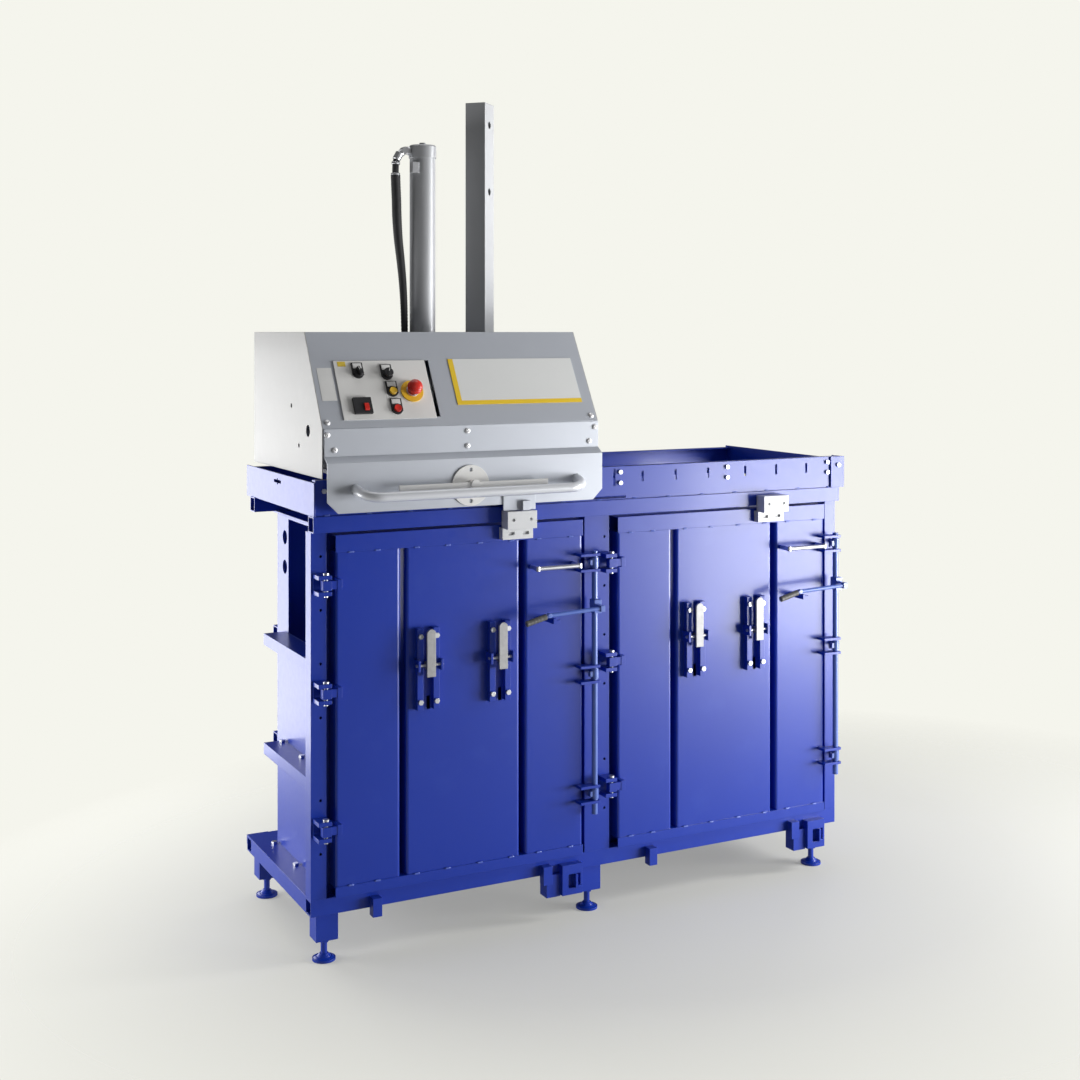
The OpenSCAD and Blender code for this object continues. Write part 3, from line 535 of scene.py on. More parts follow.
def clear_bench() -> None:
    """Leave edit mode and deselect everything."""
    if bpy.context.object is not None and bpy.context.object.mode != "OBJECT":
        bpy.ops.object.mode_set(mode="OBJECT")
    bpy.ops.object.select_all(action="DESELECT")


def lay_out(*objects: bpy.types.Object) -> None:
    """Select objects alone on the bench, the first one active."""
    clear_bench()
    for obj in objects:
        obj.select_set(True)
    bpy.context.view_layer.objects.active = objects[0]


def turn_outwards() -> None:
    """Turn the selected faces outwards and leave edit mode."""
    bpy.ops.mesh.normals_make_consistent(inside=False)
    bpy.ops.object.mode_set(mode="OBJECT")


class Blank:
    """One piece on the bench, shaped in edit mode and then finished."""

    SHARP = math.radians(30.0)

    def __init__(self, obj: bpy.types.Object) -> None:
        """Take an object that a primitive operator has just made."""
        self.obj = obj

    @classmethod
    def box(cls, low: Sequence[float], high: Sequence[float]) -> "Blank":
        """Start from a box.

        Args:
            low: its lowest corner in metres.
            high: its highest corner in metres.

        Returns:
            The new blank.
        """
        clear_bench()
        centre = [(a + b) / 2 for a, b in zip(low, high)]
        bpy.ops.mesh.primitive_cube_add(size=1.0, location=centre)
        obj = bpy.context.object
        obj.scale = [b - a for a, b in zip(low, high)]
        bpy.ops.object.transform_apply(location=True, rotation=True, scale=True)
        return cls(obj)

    @classmethod
    def turned(cls, profile: Sequence[Flat], steps: int = 32) -> "Blank":
        """Turn a profile about the z axis, as on a lathe.

        Args:
            profile: radius and height of each point in metres, from the foot to the top.
            steps: how many facets the round has.

        Returns:
            The new blank, closed where the profile starts and ends on the axis.
        """
        clear_bench()
        bpy.ops.mesh.primitive_plane_add(size=MM, location=(0.0, 0.0, 0.0))
        obj = bpy.context.object
        bpy.ops.object.mode_set(mode="EDIT")
        bpy.ops.mesh.select_all(action="SELECT")
        bpy.ops.mesh.merge(type="CENTER")
        # Known fault: this move is lost when the piece made before left edge or face selection on.
        bpy.ops.transform.translate(value=(profile[0][0], 0.0, profile[0][1]))
        bpy.ops.mesh.select_mode(type="VERT")
        bpy.ops.mesh.select_all(action="SELECT")
        for (r0, z0), (r1, z1) in zip(profile, profile[1:]):
            bpy.ops.mesh.extrude_vertices_move(TRANSFORM_OT_translate={"value": (r1 - r0, 0.0, z1 - z0)})
        bpy.ops.mesh.select_all(action="SELECT")
        bpy.ops.mesh.spin(steps=steps, angle=math.tau, center=(0, 0, 0), axis=(0, 0, 1))
        bpy.ops.mesh.select_all(action="SELECT")
        bpy.ops.mesh.remove_doubles(threshold=1e-6)
        turn_outwards()
        return cls(obj)

    def edit(self, kind: str) -> None:
        """Enter edit mode to select edges or faces, with none selected."""
        bpy.context.view_layer.objects.active = self.obj
        bpy.ops.object.mode_set(mode="EDIT")
        bpy.ops.mesh.select_mode(type=kind)
        bpy.ops.mesh.select_all(action="DESELECT")

    def pick_faces(self, test: Callable[[Vector, Vector], bool]) -> int:
        """Select faces by place and direction, and stay in edit mode.

        Args:
            test: says from a face's centre and normal whether it is picked.

        Returns:
            How many faces are picked.
        """
        self.edit("FACE")
        mesh = bmesh.from_edit_mesh(self.obj.data)
        picked = 0
        for face in mesh.faces:
            if test(face.calc_center_median(), face.normal):
                face.select_set(True)
                picked += 1
        bmesh.update_edit_mesh(self.obj.data)
        return picked

    def inset(self, test: Callable[[Vector, Vector], bool], width: float, depth: float) -> "Blank":
        """Inset picked faces and push them in or out.

        Args:
            test: picks the faces.
            width: the width of the rim in metres.
            depth: how far they go out of the surface, negative for in.

        Returns:
            The same blank.
        """
        if self.pick_faces(test):
            bpy.ops.mesh.inset(thickness=width, depth=depth)
        bpy.ops.object.mode_set(mode="OBJECT")
        return self

    def round_edges(self, width: float, segments: int) -> "Blank":
        """Round every sharp edge.

        Args:
            width: the width of the rounding in metres.
            segments: how many facets it has.

        Returns:
            The same blank.
        """
        self.edit("EDGE")
        bpy.ops.mesh.edges_select_sharp(sharpness=self.SHARP)
        bpy.ops.mesh.bevel(offset=width, segments=segments, affect="EDGES", clamp_overlap=True)
        bpy.ops.object.mode_set(mode="OBJECT")
        return self

    def stand_at(self, matrix: Matrix) -> "Blank":
        """Move the piece to its place and keep that place in its mesh."""
        self.obj.data.transform(matrix)
        return self

    def repeated(self, matrices: Iterable[Matrix]) -> "Blank":
        """Copy the piece to many places and join the copies into one.

        Args:
            matrices: the places, the piece's own included.

        Returns:
            A blank that holds all the copies.
        """
        pattern = self.obj
        copies = []
        for matrix in matrices:
            copy = pattern.copy()
            copy.data = pattern.data.copy()
            copy.data.transform(matrix)
            bpy.context.collection.objects.link(copy)
            copies.append(copy)
        bpy.data.objects.remove(pattern, do_unlink=True)
        lay_out(*copies)
        bpy.ops.object.join()
        return Blank(copies[0])

    def joined(self, *others: "Blank") -> "Blank":
        """Join other blanks to this one."""
        lay_out(self.obj, *(blank.obj for blank in others))
        bpy.ops.object.join()
        return self

    def finish(self, name: str, body: str, finish: Any, smooth: float = 35.0) -> bpy.types.Object:
        """Name the piece, dress it and let it ride on its body.

        Args:
            name: the piece's name.
            body: the body that carries it.
            finish: its finish.
            smooth: edges under this angle are shaded smooth, in degrees.

        Returns:
            The finished piece.
        """
        self.obj.name = name
        self.obj.data.name = name
        lay_out(self.obj)
        bpy.ops.object.shade_smooth_by_angle(angle=math.radians(smooth))
        self.obj.data.materials.clear()
        PAINT.coat(self.obj, finish)
        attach(self.obj, body)
        log.info("%s on %s: %d faces", name, body, len(self.obj.data.polygons))
        return self.obj


def arc(centre: Flat, radius: float, start: float, end: float, steps: int) -> list[Flat]:
    """Return points along an arc of a profile.

    Args:
        centre: the arc's centre, radius and height.
        radius: the arc's radius.
        start: its first angle in degrees.
        end: its last angle in degrees.
        steps: how many stretches it has.

    Returns:
        The points, both ends included.
    """
    angles = [math.radians(start + (end - start) * k / steps) for k in range(steps + 1)]
    return [(centre[0] + radius * math.cos(a), centre[1] + radius * math.sin(a)) for a in angles]


# ---------------------------------------------------------------- places taken from the frame


@dataclass
class Slope:
    """The sloping front of the hood, read from the control plate and the sign plate."""

    plate_thickness: float = 3.0 * MM
    sign_thickness: float = 1.5 * MM
    rounds: int = 20

    def __post_init__(self) -> None:
        """Work out the slope's direction from the sign plate's box, a step nearer each round."""
        low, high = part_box("sign_plate")
        rise, run = high[2] - low[2], high[1] - low[1]
        self.angle = math.atan2(rise, run)
        for _ in range(self.rounds):
            up = rise - self.sign_thickness * math.cos(self.angle)
            back = run - self.sign_thickness * math.sin(self.angle)
            self.angle = math.atan2(up, back)
        self.left, front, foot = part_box("control_plate")[0]
        self.foot = Vector((self.left, front + self.plate_thickness * math.sin(self.angle), foot))

    def at(self, x: float, s: float, n: float = 0.0, turn: float = 0.0) -> Matrix:
        """Return a place on the control plate.

        Args:
            x: metres to the right of the plate's left edge.
            s: metres up the slope from the plate's foot.
            n: metres out of the hood's surface.
            turn: turn about the slope's normal in degrees.

        Returns:
            A matrix whose z axis stands out of the slope.
        """
        lean = Matrix.Rotation(self.angle, 4, "X")
        move = Matrix.Translation((x, s, n))
        spin = Matrix.Rotation(math.radians(turn), 4, "Z")
        return Matrix.Translation(self.foot) @ lean @ move @ spin


def centre_of(node: str) -> Vector:
    """Return the middle of a CAD node's box."""
    low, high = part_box(node)
    return Vector([(a + b) / 2 for a, b in zip(low, high)])


# ---------------------------------------------------------------- CAD nodes and their finishes


@dataclass
class Shell:
    """The CAD nodes, each with its finish."""

    chamber_pitch: float = 800 * MM
    handle_low: Point = (-225 * MM, -290 * MM, 930 * MM)
    handle_high: Point = (-77 * MM, -239 * MM, 954 * MM)
    nodes: tuple[tuple[Any, tuple[str, ...]], ...] = (
        (BLUE, (
            "base_frame", "legs", "feet", "posts", "side_walls", "rear_walls", "wall_ribs", "deck_plate",
            "top_tubes", "front_rail", "rail_frame", "end_stop", "hinge_brackets", "latch_keepers",
            "front_brackets",
        )),
        (HIGHLIGHT_BLUE, ("latch_shaft_left", "latch_shaft_right")),
        (GRIP, ("lever_grip_left", "lever_grip_right")),
        (CAST, ("strap_lever_1", "strap_lever_2", "strap_lever_3", "strap_lever_4")),
        (ZINC, (
            "hinge_pins", "frame_bolts", "brake_bolts_left", "brake_bolts_right", "hood_screws",
            "hose_fittings", "roller_front_left", "roller_front_right", "roller_rear_left",
            "roller_rear_right",
        )),
        (GREY, ("carriage_frame", "hood", "apron", "lock_tongue")),
        (PALE, ("side_panels",)),
        (RAIL, ("push_handle",)),
        (PLATE, ("release_disc", "release_lever", "control_plate")),
        (WHITE, ("lock_block_left", "lock_block_right")),
        (BLACK, ("control_bezels", "selector_left", "selector_right", "main_switch")),
        (YELLOW, ("stop_disc", "yellow_button")),
        (RED, ("stop_button", "red_button", "main_rocker")),
        (SHADOW, ("power_pack",)),
        (SILVER, ("cylinder", "ram")),
        (SLEEVE, ("hydraulic_hose",)),
    )

    def dress(self) -> None:
        """Coat the nodes, the doors with their bare pull handles, and the banded sign."""
        for finish, nodes in self.nodes:
            for node in nodes:
                PAINT.coat(bpy.data.objects[node], finish)
        for side, shift in (("left", 0.0), ("right", self.chamber_pitch)):
            low, high = ((x + shift, y, z) for x, y, z in (self.handle_low, self.handle_high))
            door = replace(BLUE, name=f"{side}_door_coat", bare=Patch(low, high))
            PAINT.coat(bpy.data.objects[f"door_{side}"], door)
        left, _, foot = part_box("sign_plate")[0]
        PAINT.coat(bpy.data.objects["sign_plate"], BandedSign("sign_enamel", left, foot))
        log.info("CAD nodes, doors and sign coated")


# ---------------------------------------------------------------- dressed pieces


@dataclass
class Controls:
    """Buttons, selectors and labels on the sloping control plate."""

    slope: Slope
    plate_face: float = 3.0 * MM
    ring_bore: float = 10.4 * MM
    ring_r: float = 13.6 * MM
    stem_r: float = 9.8 * MM
    stem_foot: float = -8 * MM
    push_top: float = 13 * MM
    skirt_r: float = 12.4 * MM
    grip_half: float = 12 * MM
    grip_top: float = 22.6 * MM
    holder_high: float = 3 * MM
    card: Area = (-11.5 * MM, 13.5 * MM, 11.5 * MM, 28.0 * MM)
    stop_at: Flat = (194.9 * MM, 76.0 * MM)
    yellow_at: Flat = (142.1 * MM, 76.2 * MM)
    red_at: Flat = (144.8 * MM, 26.0 * MM)
    selectors_at: tuple[Flat, ...] = ((60.0 * MM, 130.3 * MM), (136.6 * MM, 125.0 * MM))
    ticket: Area = (10 * MM, 151 * MM, 31 * MM, 165 * MM)
    rating: Area = (-46 * MM, 56 * MM, -7 * MM, 149 * MM)

    def build(self) -> None:
        """Build all the control pieces."""
        self.stop_head()
        self.push_head("yellow", self.yellow_at, YELLOW)
        self.push_head("red", self.red_at, RED)
        for side, at, turn in zip(("left", "right"), self.selectors_at, (20.0, -20.0)):
            self.selector(side, at, turn)
        self.labels()

    def stop_head(self) -> None:
        """Turn the round mushroom head of the emergency stop."""
        profile = [(0.0, -12 * MM), (10 * MM, -12 * MM), (10 * MM, 18 * MM), (12 * MM, 20 * MM)]
        profile += arc((14 * MM, 27 * MM), 6.0 * MM, -60.0, 60.0, 6)
        profile += [(18 * MM, 36 * MM)] + arc((0.0, 18 * MM), 26 * MM, 50.0, 90.0, 6)
        place = self.slope.at(*self.stop_at)
        piece = Blank.turned(profile, 40).stand_at(place).finish("stop_mushroom", "stop_head", RED, 50.0)
        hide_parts("stop_button")
        bore, foot = 13 * MM, 7 * MM
        collar = [(bore, foot), (16 * MM, foot), (16.5 * MM, 9 * MM), (bore, 10 * MM), (bore, foot)]
        Blank.turned(collar, 40).stand_at(place).finish("stop_collar", "carriage", ZINC)

    def push_head(self, colour: str, at: Flat, finish: Any) -> None:
        """Turn one flat push button with a dished face.

        Args:
            colour: its colour, as in the names of its node and body.
            at: its place on the plate.
            finish: its plastic.
        """
        r, foot, top = self.stem_r, self.stem_foot, self.push_top
        profile = [(0.0, foot), (r, foot), (r, top - 0.6 * MM), (r - 0.6 * MM, top)]
        profile += [(r - 1.5 * MM, top - 0.3 * MM), (0.0, top - 1.0 * MM)]
        cap = Blank.turned(profile, 36).stand_at(self.slope.at(*at))
        cap = cap.finish(f"{colour}_head_cap", f"{colour}_head", finish, 40.0)
        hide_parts(f"{colour}_button")

    def selector(self, side: str, at: Flat, turn: float) -> None:
        """Build a selector knob: a turned skirt with a grip across it.

        Args:
            side: left or right, as in the names of its node and body.
            at: its place on the plate.
            turn: how far the grip is turned at rest, in degrees.
        """
        r, foot, wide = self.stem_r, self.stem_foot, self.skirt_r
        profile = [(0.0, foot), (r, foot), (r, 9.5 * MM), (wide, 10.2 * MM), (wide, 12.6 * MM)]
        profile += [(wide - 1.2 * MM, 14 * MM), (0.0, 14.2 * MM)]
        skirt = Blank.turned(profile, 36)
        place = self.slope.at(*at, turn=turn)
        half, top = self.grip_half, self.grip_top
        grip = Blank.box((-4 * MM, -half, 13 * MM), (4 * MM, half, top))
        grip.inset(lambda c, n: n.z > 0.9, 1.2 * MM, 0.3 * MM).round_edges(1.0 * MM, 2)
        body, name = f"{side}_selector", f"{side}_selector_knob"
        knob = skirt.joined(grip).stand_at(place).finish(name, body, BLACK, 40.0)
        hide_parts(f"selector_{side}")
        mark = Blank.box((-0.8 * MM, 2 * MM, top + 0.1 * MM), (0.8 * MM, 10.5 * MM, top + 0.4 * MM))
        mark.round_edges(0.1 * MM, 1).stand_at(place).finish(name + "_mark", body, LABEL)

    def label(self, name: str, area: Area, n: float, finish: Any) -> None:
        """Lay one blank label on the slope.

        Args:
            name: the piece's name.
            area: its left, foot, right and top on the plate.
            n: the height of the surface under it.
            finish: its finish.
        """
        left, foot, right, top = area
        card = Blank.box((left, foot, n), (right, top, n + 0.4 * MM))
        card.inset(lambda c, m: m.z > 0.9, 1.5 * MM, 0.15 * MM)
        card.stand_at(self.slope.at(0.0, 0.0)).finish(name, "carriage", finish)

    def labels(self) -> None:
        """Lay the blank ticket and rating label, and put a card and a ring in each holder."""
        self.label("ticket_label", self.ticket, self.plate_face, TICKET)
        self.label("rating_label", self.rating, 0.0, LABEL)
        left, foot, right, top = self.card
        bore, r, low = self.ring_bore, self.ring_r, self.plate_face + 0.2 * MM
        profile = [(bore, low), (r, low), (r, 8.2 * MM), (r - 1.0 * MM, 9.0 * MM)]
        profile += [(bore, 8.4 * MM), (bore, low)]
        for index, (x, s) in enumerate((self.yellow_at, self.red_at, *self.selectors_at)):
            area = (x + left, s + foot, x + right, s + top)
            self.label(f"holder_card_{index}", area, self.plate_face + self.holder_high, LABEL)
            ring = Blank.turned(profile, 36).stand_at(self.slope.at(x, s))
            ring.finish(f"holder_ring_{index}", "carriage", ZINC, 40.0)


@dataclass
class HoseRun:
    """The hydraulic hose from the elbow at the cap down into the hood, with its sleeve."""

    axis_x: float = -401 * MM
    axis_y: float = 49.75 * MM
    cap_z: float = 2031 * MM
    hose_d: float = 18 * MM
    sleeve_d: float = 26.6 * MM
    foot_d: float = 18.6 * MM
    rib: float = 0.9 * MM
    stretches: int = 3
    ribs_a_stretch: int = 7
    sleeve_from: int = 7
    taper_from: int = 15
    crimp_sizes: tuple[tuple[str, int, float, float], ...] = (
        ("hose_ferrule", 1, 22 * MM, 11.0 * MM), ("hose_band_high", 4, 7 * MM, 11.5 * MM),
        ("hose_band_low", 7, 7 * MM, 12.5 * MM),
    )
    route_mm: tuple[Point, ...] = (
        (-70, 0, 5), (-77, 0, -10), (-79, 0, -35), (-78, 0, -75), (-76, 0, -120),
        (-75, 0, -160), (-71, 0, -220), (-64, 0, -280), (-58, 0, -340), (-54, 0, -410), (-52, 0, -500),
    )

    def points(self) -> list[Vector]:
        """Return the route with points between its own, smooth through all of them."""
        base = Vector((self.axis_x, self.axis_y, self.cap_z))
        own = [base + Vector(p) * MM for p in self.route_mm]
        line = []
        for i in range(len(own) - 1):
            before, a, b, after = own[max(i - 1, 0)], own[i], own[i + 1], own[min(i + 2, len(own) - 1)]
            for k in range(self.stretches):
                t = k / self.stretches
                line.append(
                    0.5 * ((2 * a) + (b - before) * t + (2 * before - 5 * a + 4 * b - after) * t * t
                           + (3 * a - before - 3 * b + after) * t ** 3)
                )
        return line + [own[-1]]

    def tube(self, name: str, points: Sequence[Vector], radius: float) -> bpy.types.Object:
        """Make a round tube along points as a curve.

        Args:
            name: the curve's name.
            points: the points that it follows.
            radius: its radius.

        Returns:
            The curve object.
        """
        curve = bpy.data.curves.new(name, "CURVE")
        curve.dimensions = "3D"
        curve.bevel_depth = radius
        curve.bevel_resolution = 5
        curve.use_fill_caps = True
        spline = curve.splines.new("POLY")
        spline.points.add(len(points) - 1)
        for target, point in zip(spline.points, points):
            target.co = (*point, 1.0)
        spline.use_smooth = True
        obj = bpy.data.objects.new(name, curve)
        bpy.context.collection.objects.link(obj)
        return obj

    def build(self) -> None:
        """Build the hose, its sleeve and its crimps."""
        points = self.points()
        hose = self.tube("hose_line", points, self.hose_d / 2)
        hose.data.materials.append(PAINT.get(SLEEVE))
        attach(hose, "carriage")
        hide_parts("hydraulic_hose")
        extra = [self.sleeve(points), *self.crimps(points)]
        length = sum((b - a).length for a, b in zip(points, points[1:]))
        log.info("hose %.3f m long", length)

    def sleeve(self, points: Sequence[Vector]) -> bpy.types.Object:
        """Make the ribbed sleeve over the lower hose.

        Args:
            points: the hose's points.

        Returns:
            The sleeve.
        """
        line, steps = points[self.sleeve_from:], self.ribs_a_stretch
        verts, faces, sides = [], [], 20
        fine = [a.lerp(b, k / steps) for a, b in zip(line, line[1:]) for k in range(steps)] + [line[-1]]
        for i, point in enumerate(fine):
            along = (fine[min(i + 1, len(fine) - 1)] - fine[max(i - 1, 0)]).normalized()
            across = Vector((0, 1, 0))
            side = along.cross(across).normalized()
            past = max(0.0, self.sleeve_from + i / steps - self.taper_from)
            slim = (self.sleeve_d - self.foot_d) / 2 * past / (len(points) - 1 - self.taper_from)
            radius = self.sleeve_d / 2 - slim - self.rib * (i % 2)
            if i == 0:
                radius = self.hose_d / 2 + 1.0 * MM
            for k in range(sides):
                a = math.tau * k / sides
                verts.append(point + (across * math.cos(a) + side * math.sin(a)) * radius)
        for i in range(len(fine) - 1):
            for k in range(sides):
                n = (k + 1) % sides
                faces.append((i * sides + k, i * sides + n, (i + 1) * sides + n, (i + 1) * sides + k))
        faces.append(tuple(range(sides))[::-1])
        last = (len(fine) - 1) * sides
        faces.append(tuple(range(last, last + sides)))
        mesh = bpy.data.meshes.new("sleeve")
        mesh.from_pydata(verts, [], faces)
        obj = bpy.data.objects.new("sleeve", mesh)
        bpy.context.collection.objects.link(obj)
        lay_out(obj)
        bpy.ops.object.mode_set(mode="EDIT")
        bpy.ops.mesh.select_all(action="SELECT")
        turn_outwards()
        return Blank(obj).finish("hose_sleeve", "carriage", SLEEVE, 60.0)

    def crimps(self, points: Sequence[Vector]) -> list[bpy.types.Object]:
        """Turn the ferrule at the elbow and two bands on the hose.

        Args:
            points: the hose's points.

        Returns:
            The pieces.
        """
        made = []
        inner, chamfer = self.hose_d / 2 - 0.4 * MM, 0.8 * MM
        for name, index, length, r in self.crimp_sizes:
            half = length / 2
            profile = [(inner, -half), (r - chamfer, -half), (r, chamfer - half), (r, half - chamfer)]
            profile += [(r - chamfer, half), (inner, half), (inner, -half)]
            ring = Blank.turned(profile, 28)
            along = (points[index + 1] - points[index - 1]).normalized()
            turn = along.to_track_quat("Z", "Y").to_matrix().to_4x4()
            ring.stand_at(Matrix.Translation(points[index]) @ turn)
            made.append(ring.finish(name, "carriage", ZINC))
        return made


@dataclass
class LeverGrips:
    """The sleeves that the two latch levers are held by."""

    half_length: float = 30.8 * MM
    radius: float = 8.0 * MM
    drop: float = 17.0 / 68.0
    rings: int = 5
    ring_start: float = 8 * MM
    ring_pitch: float = 9.5 * MM
    ring_half: float = 2.2 * MM
    ring_depth: float = 0.8 * MM

    def build(self) -> None:
        """Build both grips."""
        along = Vector((1.0, 0.0, self.drop)).normalized()
        turn = along.to_track_quat("Z", "Y").to_matrix().to_4x4()
        for side in ("left", "right"):
            node = f"lever_grip_{side}"
            place = Matrix.Translation(centre_of(node)) @ turn
            piece = self.grip().stand_at(place).finish(f"{side}_lever_grip", f"{side}_latch", GRIP, 40.0)
            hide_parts(node)

    def grip(self) -> Blank:
        """Turn one grip with shallow finger rings and a closed round end."""
        h, r = self.half_length, self.radius
        profile = [(0.0, -h)] + arc((r - 3 * MM, -h + 3 * MM), 3 * MM, -90.0, 0.0, 4)
        for k in range(self.rings):
            z, half = -h + self.ring_start + k * self.ring_pitch, self.ring_half
            rim = r - 0.1 * MM
            profile += [(rim, z), (r - self.ring_depth, z + half), (rim, z + 2 * half)]
        profile += [(r, h - 5 * MM), (r, h - 1 * MM), (r - 1.5 * MM, h), (0.0, h)]
        return Blank.turned(profile, 28)


@dataclass
class WeldSeams:
    """Short weld beads along the box rails of both doors and the foot of the front rail."""

    bead_length: float = 17 * MM
    bead_height: float = 2.2 * MM
    bead_width: float = 5 * MM
    door_beads_mm: tuple[float, ...] = (40, 110, 215, 300, 390, 480, 560, 655)
    block_to_hinge_side: float = 533 * MM
    foot_seam: float = 26 * MM
    top_seam: float = 81 * MM
    rail_beads: int = 15
    rail_margin: float = 30 * MM

    def bead(self) -> Blank:
        """Turn one bead and flatten it, its length along x."""
        half, r = self.bead_length / 2, self.bead_width / 2
        ripple = [(r * (1.0 - 0.12 * (k % 2)), -half + half * 2 * k / 8) for k in range(1, 8)]
        blank = Blank.turned([(0.0, -half), *ripple, (0.0, half)], 10)
        flat = Matrix.Diagonal((1.0, self.bead_height / self.bead_width * 2, 1.0, 1.0))
        blank.stand_at(Matrix.Rotation(math.radians(90), 4, "Y") @ flat)
        return blank

    def row(self, name: str, body: str, places: Sequence[Point]) -> None:
        """Lay a row of beads.

        Args:
            name: the piece's name.
            body: the body that carries it.
            places: where each bead lies.
        """
        self.bead().repeated(Matrix.Translation(p) for p in places).finish(name, body, BEAD_HIGHLIGHT_BLUE, 60.0)

    def build(self) -> None:
        """Lay the beads of both doors and of the front rail."""
        low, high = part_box("front_rail")
        for side in ("left", "right"):
            block_right, _, block_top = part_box(f"lock_block_{side}")[1]
            left, face = block_right - self.block_to_hinge_side, low[1] + 0.2 * MM
            levels = (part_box(f"door_{side}")[0][2] + self.foot_seam, block_top - self.top_seam)
            places = [(left + d * MM, face, z) for z in levels for d in self.door_beads_mm]
            self.row(f"{side}_door_welds", f"{side}_door", places)
        step = (high[0] - low[0] - 2 * self.rail_margin) / (self.rail_beads - 1)
        start, face, seam = low[0] + self.rail_margin, low[1] + 0.1 * MM, low[2] + 1.5 * MM
        self.row("rail_welds", "frame", [(start + k * step, face, seam) for k in range(self.rail_beads)])


@dataclass
class ScrewHeads:
    """Round screw heads with a round socket on the hood and the apron."""

    radius: float = 7.5 * MM
    height: float = 4 * MM
    rim: float = 0.8 * MM
    socket_depth: float = 1.8 * MM
    socket_radius: float = 2.3 * MM
    socket_edge: float = 0.3 * MM
    corner_mm: Point = (6, 22, 2)
    apron_mm: tuple[Flat, ...] = ((0, -17), (19, -54), (376, -17), (376, -55), (731, -54), (748, -17))
    slope_foot: float = -5 * MM
    slope_left: float = -44 * MM
    slope_right_inset: float = 11 * MM

    def head(self) -> Blank:
        """Turn one domed head and sink its socket."""
        r, rim, dome = self.radius, self.rim, self.height - self.rim
        socket = self.height - self.socket_depth
        profile = [(0.0, 0.0), (r, 0.0), (r, rim)]
        for angle in map(math.radians, (20, 40, 58)):
            profile.append((r * math.cos(angle), rim + dome * math.sin(angle)))
        bore = self.socket_radius
        profile += [(bore + self.socket_edge, self.height), (bore, socket), (0.0, socket)]
        return Blank.turned(profile, 24)

    def build(self, slope: Slope) -> None:
        """Put a head on each screw of the CAD node.

        Args:
            slope: the hood's slope.
        """
        face_turn = Matrix.Rotation(math.radians(90), 4, "X")
        low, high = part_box("hood_screws")
        apron_low, apron_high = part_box("apron")
        right, back, up = (n * MM for n in self.corner_mm)
        corner = Vector((low[0] + right, apron_low[1] + back, apron_high[2] + up))
        places = [Matrix.Translation(corner + Vector((x, 0, z)) * MM) @ face_turn for x, z in self.apron_mm]
        ends = (self.slope_left, high[0] - slope.left - self.slope_right_inset)
        places += [slope.at(x, self.slope_foot) for x in ends]
        piece = self.head().repeated(places).finish("hood_screw_heads", "carriage", CAP, 40.0)
        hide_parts("hood_screws")


# ---------------------------------------------------------------- studio


@dataclass(frozen=True)
class SoftBox:
    """A soft rectangular lamp: where it hangs, what it is aimed at, its size and its watts."""

    name: str
    place: Point
    target: Point
    size: Flat
    power: float

    def hang(self) -> None:
        """Hang the lamp, out of the camera's sight."""
        data = bpy.data.lights.new(self.name, "AREA")
        data.shape = "RECTANGLE"
        data.size, data.size_y = self.size
        data.energy = self.power
        lamp = bpy.data.objects.new(self.name, data)
        lamp.location = self.place
        lamp.visible_camera = False
        aim = Vector(self.target) - Vector(self.place)
        lamp.rotation_euler = aim.to_track_quat("-Z", "Y").to_euler()
        bpy.context.collection.objects.link(lamp)


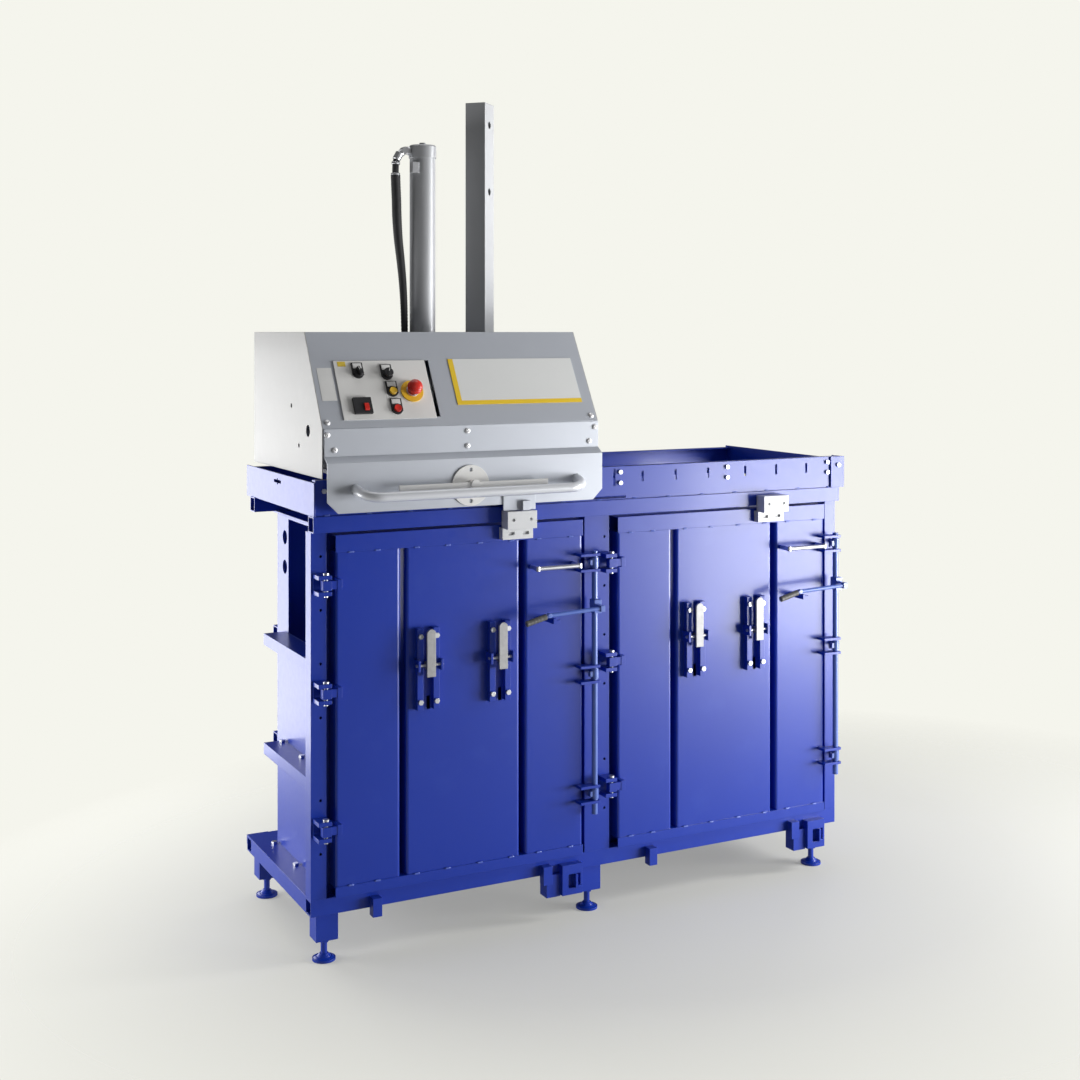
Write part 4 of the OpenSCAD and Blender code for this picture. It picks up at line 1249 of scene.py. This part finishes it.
@dataclass
class Studio:
    """Pale floor, soft light and the camera."""

    backdrop: Colour = (0.913, 0.913, 0.847)
    eye: Point = (-1.9927, -3.76725, 1.555)
    yaw: float = 27.131
    lens: float = 50.33
    shift: Flat = (-0.0011, -0.1919)
    world_level: float = 0.10
    floor_size: float = 24.0
    floor_drop: float = 0.5 * MM
    floor_colour: Colour = (0.55, 0.55, 0.52)
    floor_glow: float = 0.27
    shade_x: float = 0.35
    shade_squash: float = 0.6
    shade_from: float = 0.85
    shade_fade: float = 0.9
    lamps: tuple[SoftBox, ...] = (
        SoftBox("rear_box", (-1.3, 1.6, 0.75), (-0.85, 0.2, 0.7), (1.1, 1.5), 19.0),
        SoftBox("side_box", (-3.0, 0.9, 0.6), (-0.8, 0.1, 0.5), (1.6, 1.2), 60.0),
        SoftBox("sheen_box", (2.8, -2.8, 0.45), (0.45, -0.2, 0.6), (1.5, 1.5), 132.0),
        SoftBox("low_key", (3.0, -1.6, 0.4), (0.1, -0.2, 0.8), (0.7, 0.7), 48.0),
        SoftBox("high_key", (3.1, -1.3, 2.0), (-0.2, 0.0, 1.8), (0.8, 1.2), 58.0),
        SoftBox("rim_box", (2.6, 1.6, 2.3), (-0.2, 0.0, 1.8), (0.8, 1.0), 11.0),
        SoftBox("front_box", (-0.6, -4.6, 3.2), (0.0, 0.0, 1.0), (2.2, 1.6), 6.0),
        SoftBox("top_box", (0.2, 0.8, 5.0), (0.0, 0.0, 1.0), (3.0, 2.4), 42.0),
    )

    def build(self) -> None:
        """Set the view transform, world, floor, lamps and camera."""
        bpy.context.scene.view_settings.view_transform = "Standard"
        self.camera()
        self.world()
        self.floor()
        for lamp in self.lamps:
            lamp.hang()

    def camera(self) -> None:
        """Set up the camera."""
        data = bpy.data.cameras.new("view")
        data.lens = self.lens
        data.sensor_width = 36.0
        data.shift_x, data.shift_y = self.shift
        camera = bpy.data.objects.new("view", data)
        camera.location = self.eye
        camera.rotation_euler = (math.radians(90.0), 0.0, -math.radians(self.yaw))
        bpy.context.collection.objects.link(camera)
        bpy.context.scene.camera = camera

    def world(self) -> None:
        """Light evenly, and show the backdrop to the camera alone."""
        world = bpy.data.worlds.new("studio")
        bpy.context.scene.world = world
        world.use_nodes = True
        tree = world.node_tree
        tree.nodes.clear()
        out = tree.nodes.new("ShaderNodeOutputWorld")
        lit, seen = (tree.nodes.new("ShaderNodeBackground") for _ in range(2))
        lit.inputs[0].default_value = (1.0, 1.0, 1.0, 1.0)
        lit.inputs[1].default_value = self.world_level
        seen.inputs[0].default_value = (*self.backdrop, 1.0)
        path = tree.nodes.new("ShaderNodeLightPath")
        mix = tree.nodes.new("ShaderNodeMixShader")
        tree.links.new(path.outputs["Is Camera Ray"], mix.inputs[0])
        tree.links.new(lit.outputs[0], mix.inputs[1])
        tree.links.new(seen.outputs[0], mix.inputs[2])
        tree.links.new(mix.outputs[0], out.inputs[0])

    def floor(self) -> None:
        """Lay a floor that keeps the shadow and fades into the backdrop."""
        clear_bench()
        bpy.ops.mesh.primitive_plane_add(size=self.floor_size, location=(0.0, 0.0, -self.floor_drop))
        floor = bpy.context.object
        floor.name = "studio_floor"
        shader = Shader("studio_floor")
        shader.tree.nodes.remove(shader.body)
        cloth = shader.node("ShaderNodeBsdfDiffuse", {"Color": self.floor_colour})
        shine = shader.node("ShaderNodeEmission", {"Color": self.backdrop, "Strength": self.floor_glow})
        both = shader.node("ShaderNodeAddShader", {0: cloth.outputs[0], 1: shine.outputs[0]})
        clear = shader.node("ShaderNodeBsdfTransparent")
        x, y = shader.axis(Axis.X) - self.shade_x, shader.axis(Axis.Y)
        reach = (x * x * self.shade_squash + y * y).power(0.5)
        fade = ((reach - self.shade_from) / self.shade_fade).clamped()
        seen = shader.node("ShaderNodeMixShader", {0: fade, 1: both.outputs[0], 2: clear.outputs[0]})
        shown = shader.node("ShaderNodeLightPath").outputs["Is Camera Ray"]
        ground = shader.node("ShaderNodeMixShader", {0: shown, 1: cloth.outputs[0], 2: seen.outputs[0]})
        shader.link(ground.outputs[0], shader.out.inputs[0])
        floor.data.materials.append(shader.material)


def main() -> None:
    """Build every class in order and report each piece."""
    logging.basicConfig(level=logging.INFO, format="%(message)s")
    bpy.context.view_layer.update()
    Studio().build()
    HoseRun().build()
    Shell().dress()
    slope = Slope()
    Controls(slope).build()
    LeverGrips().build()
    WeldSeams().build()
    ScrewHeads().build(slope)
    clear_bench()


if __name__ == "__main__":
    main()
